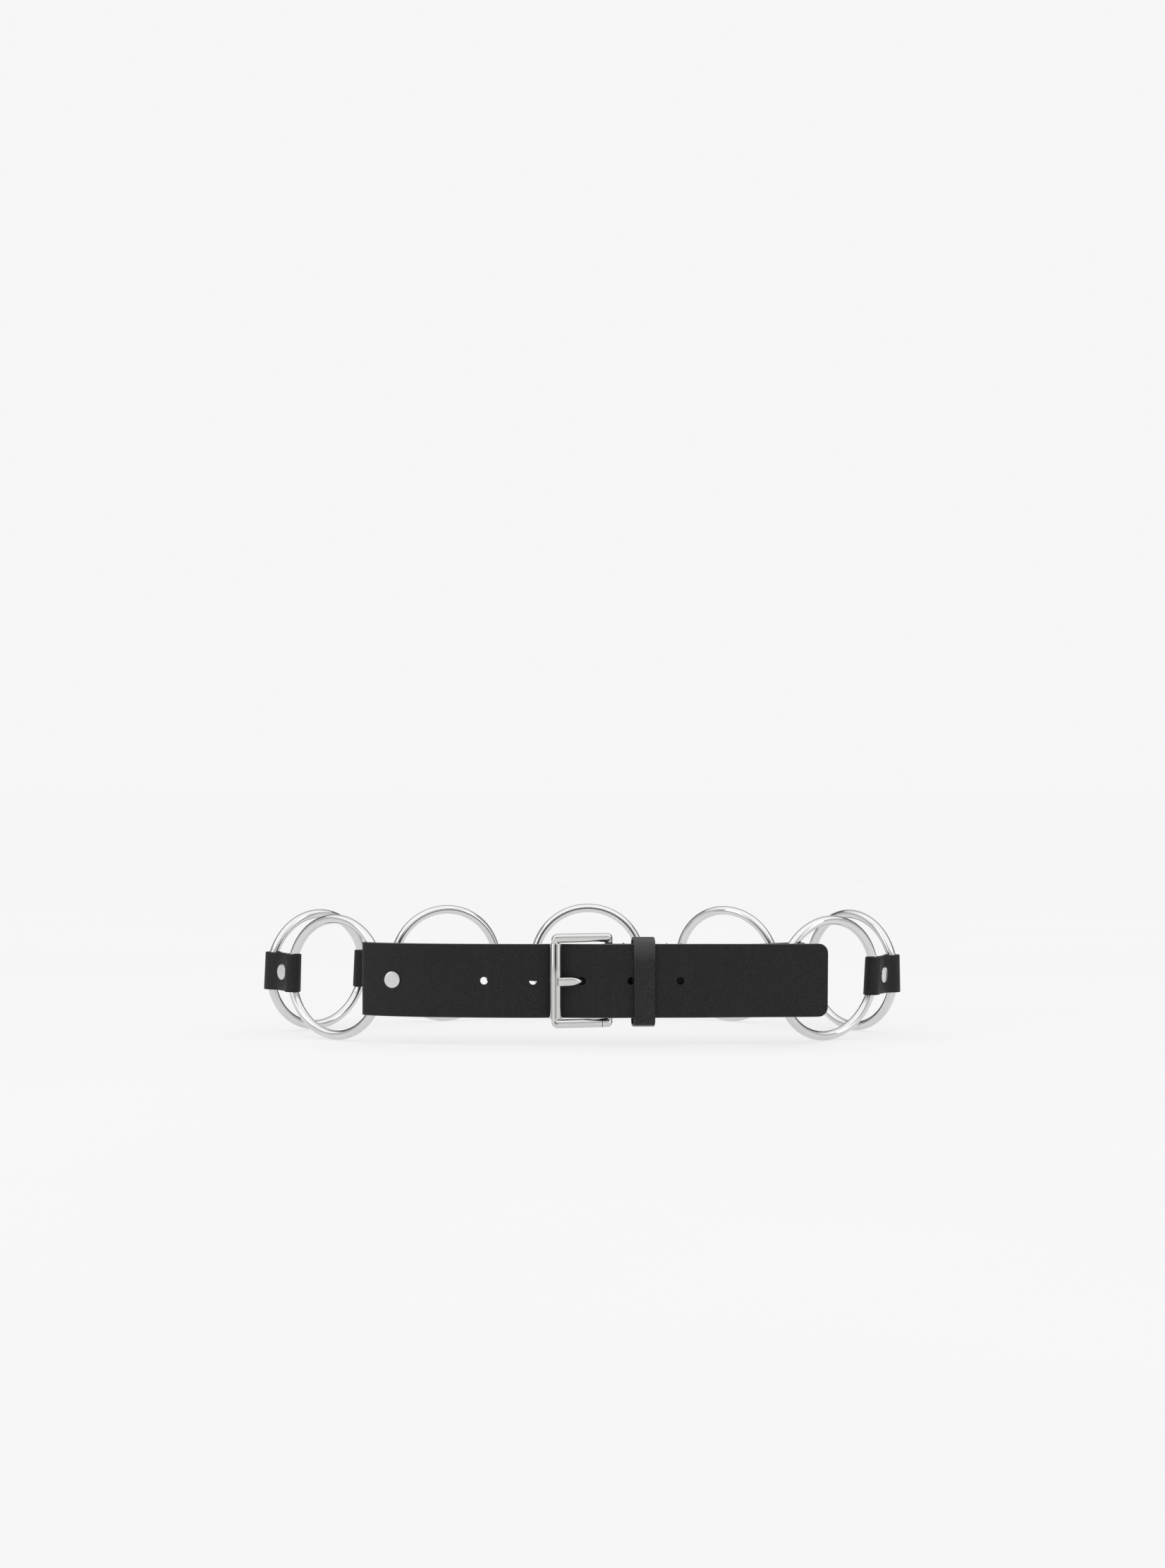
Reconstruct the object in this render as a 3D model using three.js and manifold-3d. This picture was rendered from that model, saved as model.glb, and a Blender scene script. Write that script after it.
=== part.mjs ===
// A leather belt with seven metal rings, buckled and standing in an oval loop on its rings.
// Millimetres, +Z up, +X to the right along the front strap, the wearer's side towards +Y.
// The origin is the middle of the belt's box, on the surface that it stands on.
import * as THREE from 'three';
import { mergeVertices } from 'three/addons/utils/BufferGeometryUtils.js';
import Module from 'manifold-3d';

const wasm = await Module();
wasm.setup();

// Clearance left wherever two pieces meet
const gap = 0.3;

const ringOuter = 66.5;
const wireRadius = 2.5;
const wireLine = ringOuter / 2 - wireRadius;
const wireSides = 10;
const ringSegments = 32;

const strapHeight = 38.2;
const strapThick = 1.8;
const buckleStrapHeight = 37.6;
const strapMiddle = 33.8;
const holePitch = 25.4;
const holeRadius = 2.15;
const tipCornerRadius = 5;

// Distances along the strap are measured from its middle hole, to the right
const lineStart = -121.2;
const tipEnd = 127.6;
const tipFold = { at: -117.2, depth: 8, wireAt: -107.2, rivetAt: -100.2, flatAt: -95.6, end: -92 };
const ringFold = { at: 114.2, depth: 8, wireAt: 104, rivetAt: 96.4, flatAt: 91.4, end: 88 };
// Near the last ring the buckle strap leaves the tip strap, and turns towards that ring
const leanFrom = 55;
const bend = { clearFrom: 50, clearTo: 85, from: 97, rate: 0.02 };
// Behind the front layer the buckle strap's short layer slopes down after the keeper and ends here
const shortLayer = { slope: 5, end: 54 };

const tabHeight = 20.4;
const tabThick = 1.5;
const tabWaist = 5;
const tabSlack = 0.25;
// The tab bulges a little beside its rivet, so the caps sit this far from its middle plane
const tabFace = 1.65;

const keeper = { at: 32.3, width: 11, height: 46, thick: 1.5, corner: 2.6 };

const capRadius = 4.5;
const capThick = 0.8;
const shankRadius = 1.8;
const backCapRadius = 3.2;
const rivetSides = 12;
const barSides = 14;
const drillLength = 40;
// A prism this deep reaches through the whole belt from front to back
const elevationDepth = ringOuter * 6;

// Points in the half turn of a fold, and the length of leather between points elsewhere
const turnSteps = 8;
const layerStep = 4;
// Points in the rounding of a corner and round the end of a buckle arm
const cornerSteps = 5;
const armSteps = 8;
// Steps along half a tab's side, round its end and over its height
const tabSteps = { side: 4, end: 6, height: 3 };
// A tab's pocket opens where the leather stands this far apart, and its tip lies this much further in
const pocket = { open: 0.15, tip: 1 };
// The direction of a line is taken between the points this far to either side
const lookAside = 0.5;
const lineDivisions = 400;
const mergeDistance = 1e-4;

const frame = { middle: 34.1, height: 49.1, armHeight: 4.6, endRadius: 2.2, corner: 2.6, chamfer: 3.2 };
const hingeBar = { at: 13.6, radius: 1.75 };
const rollerBar = { at: -13.7, radius: 1.6 };
const roller = { radius: 2.75, length: 38.8 };
const prong = { thick: 1.4, width: 2.6, bladeThick: 1.8, bladeWidth: 4.1, eyeRadius: 3.45 };
const prongSlot = { from: 9, to: 18.4, height: 5.4, depth: 14 };

// The prong from its eye through the hole to the roller, along the strap and behind its middle plane
const tonguePath = [
  { at: 10.9, depth: 3.4 },
  { at: 8.2, depth: 2.4 },
  { at: 3.2, depth: 2.3 },
  { at: 1.1, depth: 1.4 },
  { at: -0.3, depth: -1.2 },
  { at: -1.8, depth: -2.5 },
  { at: -5, depth: -3.9 },
];
const bladePath = [
  { at: -2.6, depth: -2.8 },
  { at: -4.4, depth: -3.5 },
  { at: -8, depth: -5.1 },
  { at: -11.4, depth: -6.8 },
];

// The strap lifts over the hinge bar's fold and dips under the roller
const lift = { overHinge: 1, underRoller: 1.2, reach: 7 };

// How deep behind the tip strap's middle plane the layers and bars lie
const secondLayer = strapThick + gap;
const hingeDepth = secondLayer + strapThick / 2 + gap + hingeBar.radius;
const rollerDepth = -(strapThick / 2 + gap + roller.radius);
const keeperFront = -(strapThick / 2 + gap + keeper.thick);
const keeperBack = secondLayer + strapThick / 2 + gap + keeper.thick;
// How far behind the buckle strap's long layer its short layer passes the keeper
const overKeeper = strapThick + 2 * gap + keeper.thick;

// Rings in order round the belt, from the left end of the front strap: the middle of each in plan,
// the turn of its plane from +X, and how far its top leans along the plane's normal, in degrees
const rings = [
  { x: -131.0, y: -40.9, turn: -34.9, lean: 0 },
  { x: -146.5, y: 14.6, turn: 41.2, lean: -2.2 },
  { x: -78.3, y: 61.8, turn: 21.1, lean: -2.7 },
  { x: 3.1, y: 75.5, turn: 0, lean: 0 },
  { x: 82.7, y: 58.6, turn: -31.0, lean: -6.4 },
  { x: 148.1, y: 9.4, turn: -48.7, lean: -1.9 },
  { x: 129.6, y: -46.6, turn: 32.4, lean: -4.9 },
];
const lastRing = rings[rings.length - 1];

// Which end of each ring a tab holds, -1 left and 1 right, the height of the tab's middle, and how far
// its rivet sits past the middle
const tabs = [
  { from: 1, fromEnd: -1, to: 2, toEnd: -1, middle: 34.1, rivetShift: -0.8 },
  { from: 2, fromEnd: 1, to: 3, toEnd: -1, middle: 32.4, rivetShift: 0 },
  { from: 3, fromEnd: 1, to: 4, toEnd: -1, middle: 32.2, rivetShift: 0 },
  { from: 4, fromEnd: 1, to: 5, toEnd: -1, middle: 32.4, rivetShift: 0 },
  { from: 5, fromEnd: 1, to: 6, toEnd: -1, middle: 32.6, rivetShift: 0 },
  { from: 6, fromEnd: 1, to: 7, toEnd: 1, middle: 33.1, rivetShift: 0 },
];

// The tip strap's middle plane, seen from above, from left to right
const frontLine = new THREE.SplineCurve([
  { x: -118, y: -55.2 },
  { x: -108, y: -61.6 },
  { x: -95, y: -66.5 },
  { x: -75, y: -70.7 },
  { x: -40, y: -73.8 },
  { x: 10, y: -74.2 },
  { x: 70, y: -72.8 },
  { x: 110, y: -70.9 },
  { x: 130, y: -68.6 },
].map(({ x, y }) => new THREE.Vector2(x, y)));
frontLine.arcLengthDivisions = lineDivisions;

const leather = new THREE.MeshStandardMaterial({ color: '#262626', roughness: 0.6, metalness: 0 });
const metal = new THREE.MeshStandardMaterial({ color: '#d2d2d2', roughness: 0.15, metalness: 1 });

const belt = new THREE.Group();
belt.name = 'ring_belt';

function add(name, geometry, material) {
  const mesh = new THREE.Mesh(geometry, material);
  mesh.name = name;
  belt.add(mesh);
  return mesh;
}

function solidOf(geometry) {
  const bare = geometry.clone();
  bare.deleteAttribute('normal');
  bare.deleteAttribute('uv');
  const merged = mergeVertices(bare, mergeDistance);
  const vertProperties = new Float32Array(merged.attributes.position.array);
  const triVerts = new Uint32Array(merged.index.array);
  return new wasm.Manifold(new wasm.Mesh({ numProp: 3, vertProperties, triVerts }));
}

function geometryOf(solid) {
  const { vertProperties, triVerts } = solid.getMesh();
  const geometry = new THREE.BufferGeometry();
  geometry.setAttribute('position', new THREE.BufferAttribute(vertProperties, 3));
  geometry.setIndex(new THREE.BufferAttribute(triVerts, 1));
  geometry.computeVertexNormals();
  return geometry;
}

function cut(geometry, tools) {
  return geometryOf(tools.reduce((solid, tool) => solid.subtract(solidOf(tool)), solidOf(geometry)));
}

function join(first, others) {
  return geometryOf(others.reduce((solid, other) => solid.add(solidOf(other)), solidOf(first)));
}

// A prism standing on its plan outline, its middle at the given height
function prism(outline, height, middle) {
  const shape = new THREE.Shape(outline);
  const geometry = new THREE.ExtrudeGeometry(shape, { depth: height, bevelEnabled: false });
  return geometry.translate(0, 0, middle - height / 2);
}

// A prism seen in elevation, running from front to back
function elevationPrism(shape, depth) {
  const geometry = new THREE.ExtrudeGeometry(shape, { depth, bevelEnabled: false, curveSegments: cornerSteps });
  return geometry.translate(0, 0, -depth / 2).rotateX(Math.PI / 2);
}

function smooth(value) {
  const share = THREE.MathUtils.clamp(value, 0, 1);
  return share * share * (3 - 2 * share);
}

function bump(distance, middle) {
  return Math.exp(-(((distance - middle) / lift.reach) ** 2));
}

// The plan point at a distance along the strap and a depth behind the tip strap's middle plane
function frontPoint(distance, depth) {
  const share = (distance - lineStart) / frontLine.getLength();
  const point = frontLine.getPointAt(share);
  const along = frontLine.getTangentAt(share);
  const lifted = lift.overHinge * bump(distance, hingeBar.at);
  const pressed = lift.underRoller * bump(distance, rollerBar.at);
  const total = depth - lifted + pressed;
  return new THREE.Vector2(point.x - along.y * total, point.y + along.x * total);
}

// The buckle strap's long layer lies behind the tip strap and bends away towards the last ring
function longLayer(distance) {
  const forCap = (capThick + gap) * smooth((distance - bend.clearFrom) / (bend.clearTo - bend.clearFrom));
  const turned = bend.rate * Math.max(0, distance - bend.from) ** 2;
  return frontPoint(distance, secondLayer + forCap + turned);
}

// The plan point at a distance along the buckle strap and a depth behind its long layer
function backPoint(distance, depth) {
  const point = longLayer(distance);
  const along = longLayer(distance + lookAside).sub(longLayer(distance - lookAside)).normalize();
  return new THREE.Vector2(point.x - along.y * depth, point.y + along.x * depth);
}

function turnAt(place, distance) {
  return place(distance + lookAside, 0).sub(place(distance - lookAside, 0)).angle();
}

// Points along one layer of leather at even steps, its depth read from a short table
function layer(place, stops, step) {
  const points = [place(stops[0].at, stops[0].depth)];
  for (let i = 1; i < stops.length; i += 1) {
    const [start, end] = [stops[i - 1], stops[i]];
    const count = Math.max(1, Math.round(Math.abs(end.at - start.at) / step));
    for (let k = 1; k <= count; k += 1) {
      const share = k / count;
      const depth = THREE.MathUtils.lerp(start.depth, end.depth, share);
      points.push(place(THREE.MathUtils.lerp(start.at, end.at, share), depth));
    }
  }
  return points;
}

// A half turn of leather from one depth to another, on the left (-1) or the right (1)
function halfTurn(place, at, fromDepth, toDepth, side) {
  const centre = place(at, (fromDepth + toDepth) / 2);
  const turn = turnAt(place, at);
  const radius = (toDepth - fromDepth) / 2;
  const points = [];
  for (let k = 1; k < turnSteps; k += 1) {
    const angle = (Math.PI * k) / turnSteps;
    const across = side * Math.abs(radius) * Math.sin(angle);
    const point = new THREE.Vector2(across, -radius * Math.cos(angle));
    points.push(point.rotateAround(new THREE.Vector2(), turn).add(centre));
  }
  return points;
}

// How deep the layer that comes back from a ring lies: behind the wire, then down to the front layer
function foldedDepth(fold, distance) {
  const share = (distance - fold.flatAt) / (fold.wireAt - fold.flatAt);
  return THREE.MathUtils.lerp(secondLayer, fold.depth, THREE.MathUtils.clamp(share, 0, 1));
}

function foldedBack(place, fold) {
  const stops = [fold.at, fold.wireAt, fold.rivetAt, fold.flatAt, fold.end];
  return layer(place, stops.map((at) => ({ at, depth: foldedDepth(fold, at) })), layerStep);
}

// The outline of a strip of even thickness that follows a path
function stripOutline(path, thickness) {
  const offset = (sign) => path.map((point, i) => {
    const before = path[Math.max(i - 1, 0)];
    const after = path[Math.min(i + 1, path.length - 1)];
    const along = after.clone().sub(before).normalize();
    const reach = (sign * thickness) / 2;
    return new THREE.Vector2(point.x - along.y * reach, point.y + along.x * reach);
  });
  return [...offset(1), ...offset(-1).reverse()];
}

// A round bar standing on end
function uprightBar(radius, height, middle, point) {
  const geometry = new THREE.CylinderGeometry(radius, radius, height, barSides);
  return geometry.rotateX(Math.PI / 2).translate(point.x, point.y, middle);
}

// Where a thing that goes through the strap sits: turned with the leather and leaning with it
function strapPlace(place, distance, tilt = 0) {
  const point = place(distance, 0);
  const matrix = new THREE.Matrix4().makeRotationZ(turnAt(place, distance));
  matrix.multiply(new THREE.Matrix4().makeRotationX(tilt));
  return matrix.setPosition(point.x, point.y, strapMiddle);
}

function drill(radius, matrix) {
  return new THREE.CylinderGeometry(radius, radius, drillLength, rivetSides).applyMatrix4(matrix);
}

function lathe(profile) {
  return new THREE.LatheGeometry(profile.map(([radius, y]) => new THREE.Vector2(radius, y)), rivetSides);
}

// A rivet along Y, its outer cap towards -Y: front and back are the leather's outer faces there
function rivetGeometry(front, back) {
  const outer = front - gap;
  const inner = back + gap;
  return lathe([
    [0, outer - capThick],
    [capRadius, outer - capThick],
    [capRadius, outer],
    [shankRadius, outer],
    [shankRadius, inner],
    [capRadius, inner],
    [capRadius, inner + capThick],
    [0, inner + capThick],
  ]);
}

// A strap's rivet: its small back cap lies on the layer that slopes back from the fold
function foldRivetGeometry(place, fold) {
  const { rivetAt } = fold;
  const [before, after] = [-backCapRadius, backCapRadius].map((step) => {
    return place(rivetAt + step, foldedDepth(fold, rivetAt + step));
  });
  const slope = after.sub(before).angle() - turnAt(place, rivetAt);
  const turn = Math.atan(Math.tan(slope));
  const seat = foldedDepth(fold, rivetAt) + (strapThick / 2 + 1.5 * gap) / Math.cos(turn);
  const front = -strapThick / 2 - gap;
  const stud = lathe([
    [0, front - capThick],
    [capRadius, front - capThick],
    [capRadius, front],
    [shankRadius, front],
    [shankRadius, seat + capThick / 2],
    [0, seat + capThick / 2],
  ]);
  const cap = lathe([[0, 0], [backCapRadius, 0], [backCapRadius, capThick], [0, capThick]]);
  return join(stud, [cap.rotateZ(turn).translate(0, seat, 0)]);
}

function ringMatrix(ring) {
  const lean = THREE.MathUtils.degToRad(-ring.lean);
  const turn = THREE.MathUtils.degToRad(ring.turn);
  return new THREE.Matrix4().makeRotationZ(turn).multiply(new THREE.Matrix4().makeRotationX(lean));
}

// One ring standing on its lowest facets, with flats and not corners at its foot
function ringGeometry() {
  const step = (2 * Math.PI) / wireSides;
  const profile = [];
  for (let k = 0; k <= wireSides; k += 1) {
    const angle = (k + 0.5) * step;
    profile.push(new THREE.Vector2(wireLine + wireRadius * Math.cos(angle), wireRadius * Math.sin(angle)));
  }
  return new THREE.LatheGeometry(profile, ringSegments, Math.PI / ringSegments);
}

function standRing(ring) {
  const geometry = ringGeometry().applyMatrix4(ringMatrix(ring));
  geometry.computeBoundingBox();
  ring.height = -geometry.boundingBox.min.z;
  return geometry.translate(ring.x, ring.y, ring.height);
}

// The middle of a ring's wire at a height, on its left (-1) or right (1) side, seen from above
function wirePoint(ring, end, height) {
  const lean = THREE.MathUtils.degToRad(ring.lean);
  const up = (height - ring.height) / Math.cos(lean);
  const across = end * Math.sqrt(wireLine ** 2 - up ** 2);
  const point = new THREE.Vector3(across, 0, up).applyMatrix4(ringMatrix(ring));
  return new THREE.Vector2(ring.x + point.x, ring.y + point.y);
}

function addRings() {
  rings.forEach((ring, i) => add(`ring_${i + 1}`, standRing(ring), metal));
}

// The last ring leans, and the straps' right ends lean with it, more and more towards the ring
function leanShare(x) {
  return smooth((x - leanFrom) / (lastRing.x - ringOuter / 2 - leanFrom));
}

function leanWithLastRing(geometry, sideways) {
  const up = new THREE.Vector3(0, 0, 1).applyMatrix4(ringMatrix(lastRing));
  up.x *= sideways;
  const position = geometry.attributes.position;
  for (let i = 0; i < position.count; i += 1) {
    const [x, y] = [position.getX(i), position.getY(i)];
    const share = (leanShare(x) * (position.getZ(i) - strapMiddle)) / up.z;
    position.setXY(i, x + up.x * share, y + up.y * share);
  }
  return geometry;
}

// The tip strap: from its free tip along the front, round the first ring and back to its end
function addTipStrap() {
  const { at, depth, rivetAt } = tipFold;
  const path = [
    ...layer(frontPoint, [{ at: tipEnd, depth: 0 }, { at, depth: 0 }], layerStep),
    ...halfTurn(frontPoint, at, 0, depth, -1),
    ...foldedBack(frontPoint, tipFold),
  ];
  const body = leanWithLastRing(prism(stripOutline(path, strapThick), strapHeight, strapMiddle), 0);

  const tip = frontPoint(tipEnd, 0).x;
  const [bottom, top] = [strapMiddle - strapHeight / 2, strapMiddle + strapHeight / 2];
  const [straight, radius] = [tip - tipCornerRadius, tipCornerRadius];
  const rounding = new THREE.Shape();
  rounding.moveTo(-2 * tip, bottom - 1);
  rounding.lineTo(straight, bottom - 1);
  rounding.lineTo(straight, bottom);
  rounding.absarc(straight, bottom + radius, radius, -Math.PI / 2, 0);
  rounding.absarc(straight, top - radius, radius, 0, Math.PI / 2);
  rounding.lineTo(straight, top + 1);
  rounding.lineTo(-2 * tip, top + 1);
  const rounded = geometryOf(solidOf(body).intersect(solidOf(elevationPrism(rounding, elevationDepth))));

  const holes = [-2, -1, 0, 1, 2].map((k) => drill(holeRadius, strapPlace(frontPoint, k * holePitch)));
  const rivetPlace = strapPlace(frontPoint, rivetAt);
  add('tip_strap', cut(rounded, [...holes, drill(shankRadius + gap, rivetPlace)]), leather);
  add('rivet_tip_strap', foldRivetGeometry(frontPoint, tipFold).applyMatrix4(rivetPlace), metal);
}

// The buckle strap: a loop round the hinge bar, its long layer, and a loop round the last ring
function addBuckleStrap() {
  const around = hingeDepth - secondLayer;
  const keeperStart = keeper.at - keeper.width / 2;
  const keeperEnd = keeper.at + keeper.width / 2;
  const { at, depth, rivetAt } = ringFold;
  const path = [
    ...layer(backPoint, [
      { at: shortLayer.end, depth: secondLayer },
      { at: keeperEnd + shortLayer.slope, depth: secondLayer },
      { at: keeperEnd, depth: overKeeper },
      { at: keeperStart, depth: overKeeper },
      { at: hingeBar.at, depth: 2 * around },
    ], layerStep),
    ...halfTurn(backPoint, hingeBar.at, 2 * around, 0, -1),
    ...layer(backPoint, [{ at: hingeBar.at, depth: 0 }, { at, depth: 0 }], layerStep),
    ...halfTurn(backPoint, at, 0, depth, 1),
    ...foldedBack(backPoint, ringFold),
  ];
  const body = leanWithLastRing(prism(stripOutline(path, strapThick), buckleStrapHeight, strapMiddle), 1);

  const slotMiddle = frontPoint((prongSlot.from + prongSlot.to) / 2, hingeDepth);
  const slot = new THREE.BoxGeometry(prongSlot.to - prongSlot.from, prongSlot.depth, prongSlot.height);
  slot.translate(slotMiddle.x, slotMiddle.y, strapMiddle);
  const up = new THREE.Vector3(0, 0, 1).applyMatrix4(ringMatrix(lastRing));
  const tilt = Math.atan2(-up.y, up.z) * leanShare(backPoint(rivetAt, 0).x);
  const rivetPlace = strapPlace(backPoint, rivetAt, tilt);
  add('buckle_strap', cut(body, [slot, drill(shankRadius + gap, rivetPlace)]), leather);
  add('rivet_buckle_strap', foldRivetGeometry(backPoint, ringFold).applyMatrix4(rivetPlace), metal);
}

function roundedLoop(width, height, radius) {
  const [x, y] = [width / 2, height / 2];
  const loop = new THREE.Path();
  loop.absarc(x - radius, y - radius, radius, 0, Math.PI / 2);
  loop.absarc(-x + radius, y - radius, radius, Math.PI / 2, Math.PI);
  loop.absarc(-x + radius, -y + radius, radius, Math.PI, Math.PI * 1.5);
  loop.absarc(x - radius, -y + radius, radius, Math.PI * 1.5, Math.PI * 2);
  return loop.getPoints(cornerSteps);
}

// The keeper: a narrow loop round the tip strap and the front layer behind it
function addKeeper() {
  const depth = keeperBack - keeperFront;
  const shape = new THREE.Shape(roundedLoop(depth, keeper.height, keeper.corner));
  const inner = [depth - 2 * keeper.thick, keeper.height - 2 * keeper.thick];
  shape.holes = [new THREE.Path(roundedLoop(...inner, keeper.corner - keeper.thick))];
  const geometry = new THREE.ExtrudeGeometry(shape, { depth: keeper.width, bevelEnabled: false });
  geometry.translate(0, 0, -keeper.width / 2).rotateX(Math.PI / 2).rotateZ(Math.PI / 2);
  const loop = add('keeper_loop', geometry, leather);
  const point = frontPoint(keeper.at, (keeperFront + keeperBack) / 2);
  loop.position.set(point.x, point.y, strapMiddle);
  loop.rotation.z = turnAt(frontPoint, keeper.at);
}

// An arm seen from above: two round ends joined by their tangents
function armOutline(start, end, radius) {
  const turn = end.clone().sub(start).angle();
  const outline = [];
  for (let k = 0; k <= armSteps; k += 1) {
    const angle = turn + Math.PI / 2 + (Math.PI * k) / armSteps;
    outline.push(new THREE.Vector2(start.x + radius * Math.cos(angle), start.y + radius * Math.sin(angle)));
  }
  for (let k = 0; k <= armSteps; k += 1) {
    const angle = turn - Math.PI / 2 + (Math.PI * k) / armSteps;
    outline.push(new THREE.Vector2(end.x + radius * Math.cos(angle), end.y + radius * Math.sin(angle)));
  }
  return outline;
}

// The frame: two arms, the hinge bar behind the strap and the roller bar in front of it
function addBuckle() {
  const hinge = backPoint(hingeBar.at, hingeDepth - secondLayer);
  const front = frontPoint(rollerBar.at, rollerDepth);
  const outline = armOutline(front, hinge, frame.endRadius);
  const armMiddle = (frame.height - frame.armHeight) / 2;
  const upperArm = prism(outline, frame.armHeight, frame.middle + armMiddle);
  const lowerArm = prism(outline, frame.armHeight, frame.middle - armMiddle);
  const barLength = frame.height - frame.armHeight;
  const bars = [
    uprightBar(hingeBar.radius, barLength, frame.middle, hinge),
    uprightBar(rollerBar.radius, barLength, frame.middle, front),
  ];
  const whole = join(upperArm, [lowerArm, ...bars]);

  // Seen from the front the frame's corners are rounded on the right and bevelled on the left
  const [left, right] = [front.x - frame.endRadius - 1, hinge.x + frame.endRadius];
  const [bottom, top] = [frame.middle - frame.height / 2, frame.middle + frame.height / 2];
  const { corner, chamfer } = frame;
  const face = new THREE.Shape();
  face.moveTo(left, bottom + chamfer);
  face.lineTo(left + chamfer, bottom);
  face.absarc(right - corner, bottom + corner, corner, -Math.PI / 2, 0);
  face.absarc(right - corner, top - corner, corner, 0, Math.PI / 2);
  face.lineTo(left + chamfer, top);
  face.lineTo(left, top - chamfer);
  const trimmed = solidOf(whole).intersect(solidOf(elevationPrism(face, elevationDepth)));
  add('buckle_frame', geometryOf(trimmed), metal);

  const tube = uprightBar(roller.radius, roller.length, frame.middle, front);
  const bore = uprightBar(rollerBar.radius + gap, roller.length + 2, frame.middle, front);
  add('buckle_roller', cut(tube, [bore]), metal);

  // The prong: an eye round the hinge bar, a tongue through the middle hole and a blade on the roller
  const strip = (stops, thick, width) => {
    const path = stops.map(({ at, depth }) => frontPoint(at, depth));
    return prism(stripOutline(path, thick), width, strapMiddle);
  };
  const tongue = strip(tonguePath, prong.thick, prong.width);
  const blade = strip(bladePath, prong.bladeThick, prong.bladeWidth);
  const eye = uprightBar(prong.eyeRadius, prong.width, strapMiddle, hinge);
  const eyeHole = uprightBar(hingeBar.radius + gap, prong.width + 2, strapMiddle, hinge);
  add('buckle_prong', cut(join(tongue, [blade, eye]), [eyeHole]), metal);
}

// A tab seen from above, its middle at the origin and its wires on the X axis: half its width at x
function tabHalfWidth(x, wireAt, waistAt) {
  const fromWaist = Math.abs(x - waistAt) - tabWaist;
  const room = wireAt - 1 - Math.sign(x) * waistAt - tabWaist;
  return tabThick + (wireRadius + gap + tabSlack) * smooth(fromWaist / room);
}

// The upper side and the right end of a tab's outline, set in by the leather's thickness or not at all
function tabEdge(wireAt, waistAt, inset) {
  const radius = wireRadius + gap + tabSlack + tabThick - inset;
  const side = [];
  for (let k = -tabSteps.side; k <= tabSteps.side; k += 1) {
    const x = (wireAt * k) / tabSteps.side;
    side.push(new THREE.Vector2(x, tabHalfWidth(x, wireAt, waistAt) - inset));
  }
  const end = [];
  for (let k = 1; k < tabSteps.end; k += 1) {
    const angle = Math.PI / 2 - (Math.PI * k) / tabSteps.end;
    end.push(new THREE.Vector2(wireAt + radius * Math.cos(angle), radius * Math.sin(angle)));
  }
  return { side, end };
}

function mirrored(points, xSign, ySign) {
  return points.map((point) => new THREE.Vector2(xSign * point.x, ySign * point.y));
}

function tabOutline(wireAt, waistAt) {
  const { side, end } = tabEdge(wireAt, waistAt, 0);
  return [...side, ...end, ...mirrored(side, 1, -1).reverse(), ...mirrored(end, -1, -1)];
}

// The pocket for one wire: a teardrop that closes towards the waist, wound against the outline
function tabPocket(wireAt, waistAt, sign) {
  const { side, end } = tabEdge(wireAt, sign * waistAt, tabThick);
  const wide = side.filter((point) => point.x > 0 && point.y > pocket.open);
  const tip = new THREE.Vector2(wide[0].x - pocket.tip, 0);
  const outline = [tip, ...wide, ...end, ...mirrored(wide, 1, -1).reverse()].reverse();
  return mirrored(outline, sign, sign);
}

// A tab bends with the wires that it holds, which curve and lean over its height
function tabGeometry(tab) {
  const [from, to] = [rings[tab.from - 1], rings[tab.to - 1]];
  const start = wirePoint(from, tab.fromEnd, tab.middle);
  const finish = wirePoint(to, tab.toEnd, tab.middle);
  const middle = start.clone().lerp(finish, 0.5);
  const turn = finish.clone().sub(start).angle();
  const wireAt = start.distanceTo(finish) / 2;
  const shape = new THREE.Shape(tabOutline(wireAt, tab.rivetShift));
  shape.holes = [-1, 1].map((sign) => new THREE.Path(tabPocket(wireAt, tab.rivetShift, sign)));
  const geometry = new THREE.ExtrudeGeometry(shape, { depth: tabHeight, steps: tabSteps.height, bevelEnabled: false });
  geometry.translate(0, 0, tab.middle - tabHeight / 2);

  const shift = (share, height) => {
    const moveStart = wirePoint(from, tab.fromEnd, height).sub(start).multiplyScalar(1 - share);
    const moveFinish = wirePoint(to, tab.toEnd, height).sub(finish).multiplyScalar(share);
    return moveStart.add(moveFinish);
  };
  const position = geometry.attributes.position;
  for (let i = 0; i < position.count; i += 1) {
    const local = new THREE.Vector2(position.getX(i), position.getY(i));
    const share = smooth(0.5 + local.x / (2 * wireAt));
    const moved = local.rotateAround(new THREE.Vector2(), turn).add(middle);
    moved.add(shift(share, position.getZ(i)));
    position.setXY(i, moved.x, moved.y);
  }

  const along = new THREE.Vector2(Math.cos(turn), Math.sin(turn));
  const across = new THREE.Vector2(-along.y, along.x);
  const rise = shift(0.5, tab.middle + capRadius).sub(shift(0.5, tab.middle - capRadius));
  const tilt = -Math.atan2(rise.dot(across), 2 * capRadius);
  const place = new THREE.Matrix4().makeRotationZ(turn).multiply(new THREE.Matrix4().makeRotationX(tilt));
  place.setPosition(middle.x + along.x * tab.rivetShift, middle.y + along.y * tab.rivetShift, tab.middle);
  return { geometry, place };
}

function addTabs() {
  tabs.forEach((tab, i) => {
    const { geometry, place } = tabGeometry(tab);
    add(`tab_${i + 1}`, cut(geometry, [drill(shankRadius + gap, place)]), leather);
    add(`rivet_tab_${i + 1}`, rivetGeometry(-tabFace, tabFace).applyMatrix4(place), metal);
  });
}

addRings();
addTipStrap();
addBuckleStrap();
addKeeper();
addBuckle();
addTabs();

// Bring the middle of the belt's box over the origin
const box = new THREE.Box3().setFromObject(belt);
const middle = box.getCenter(new THREE.Vector3());
belt.position.set(-middle.x, -middle.y, -box.min.z);

export default belt;
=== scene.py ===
import math

import bpy
from mathutils import Matrix, Vector


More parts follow.
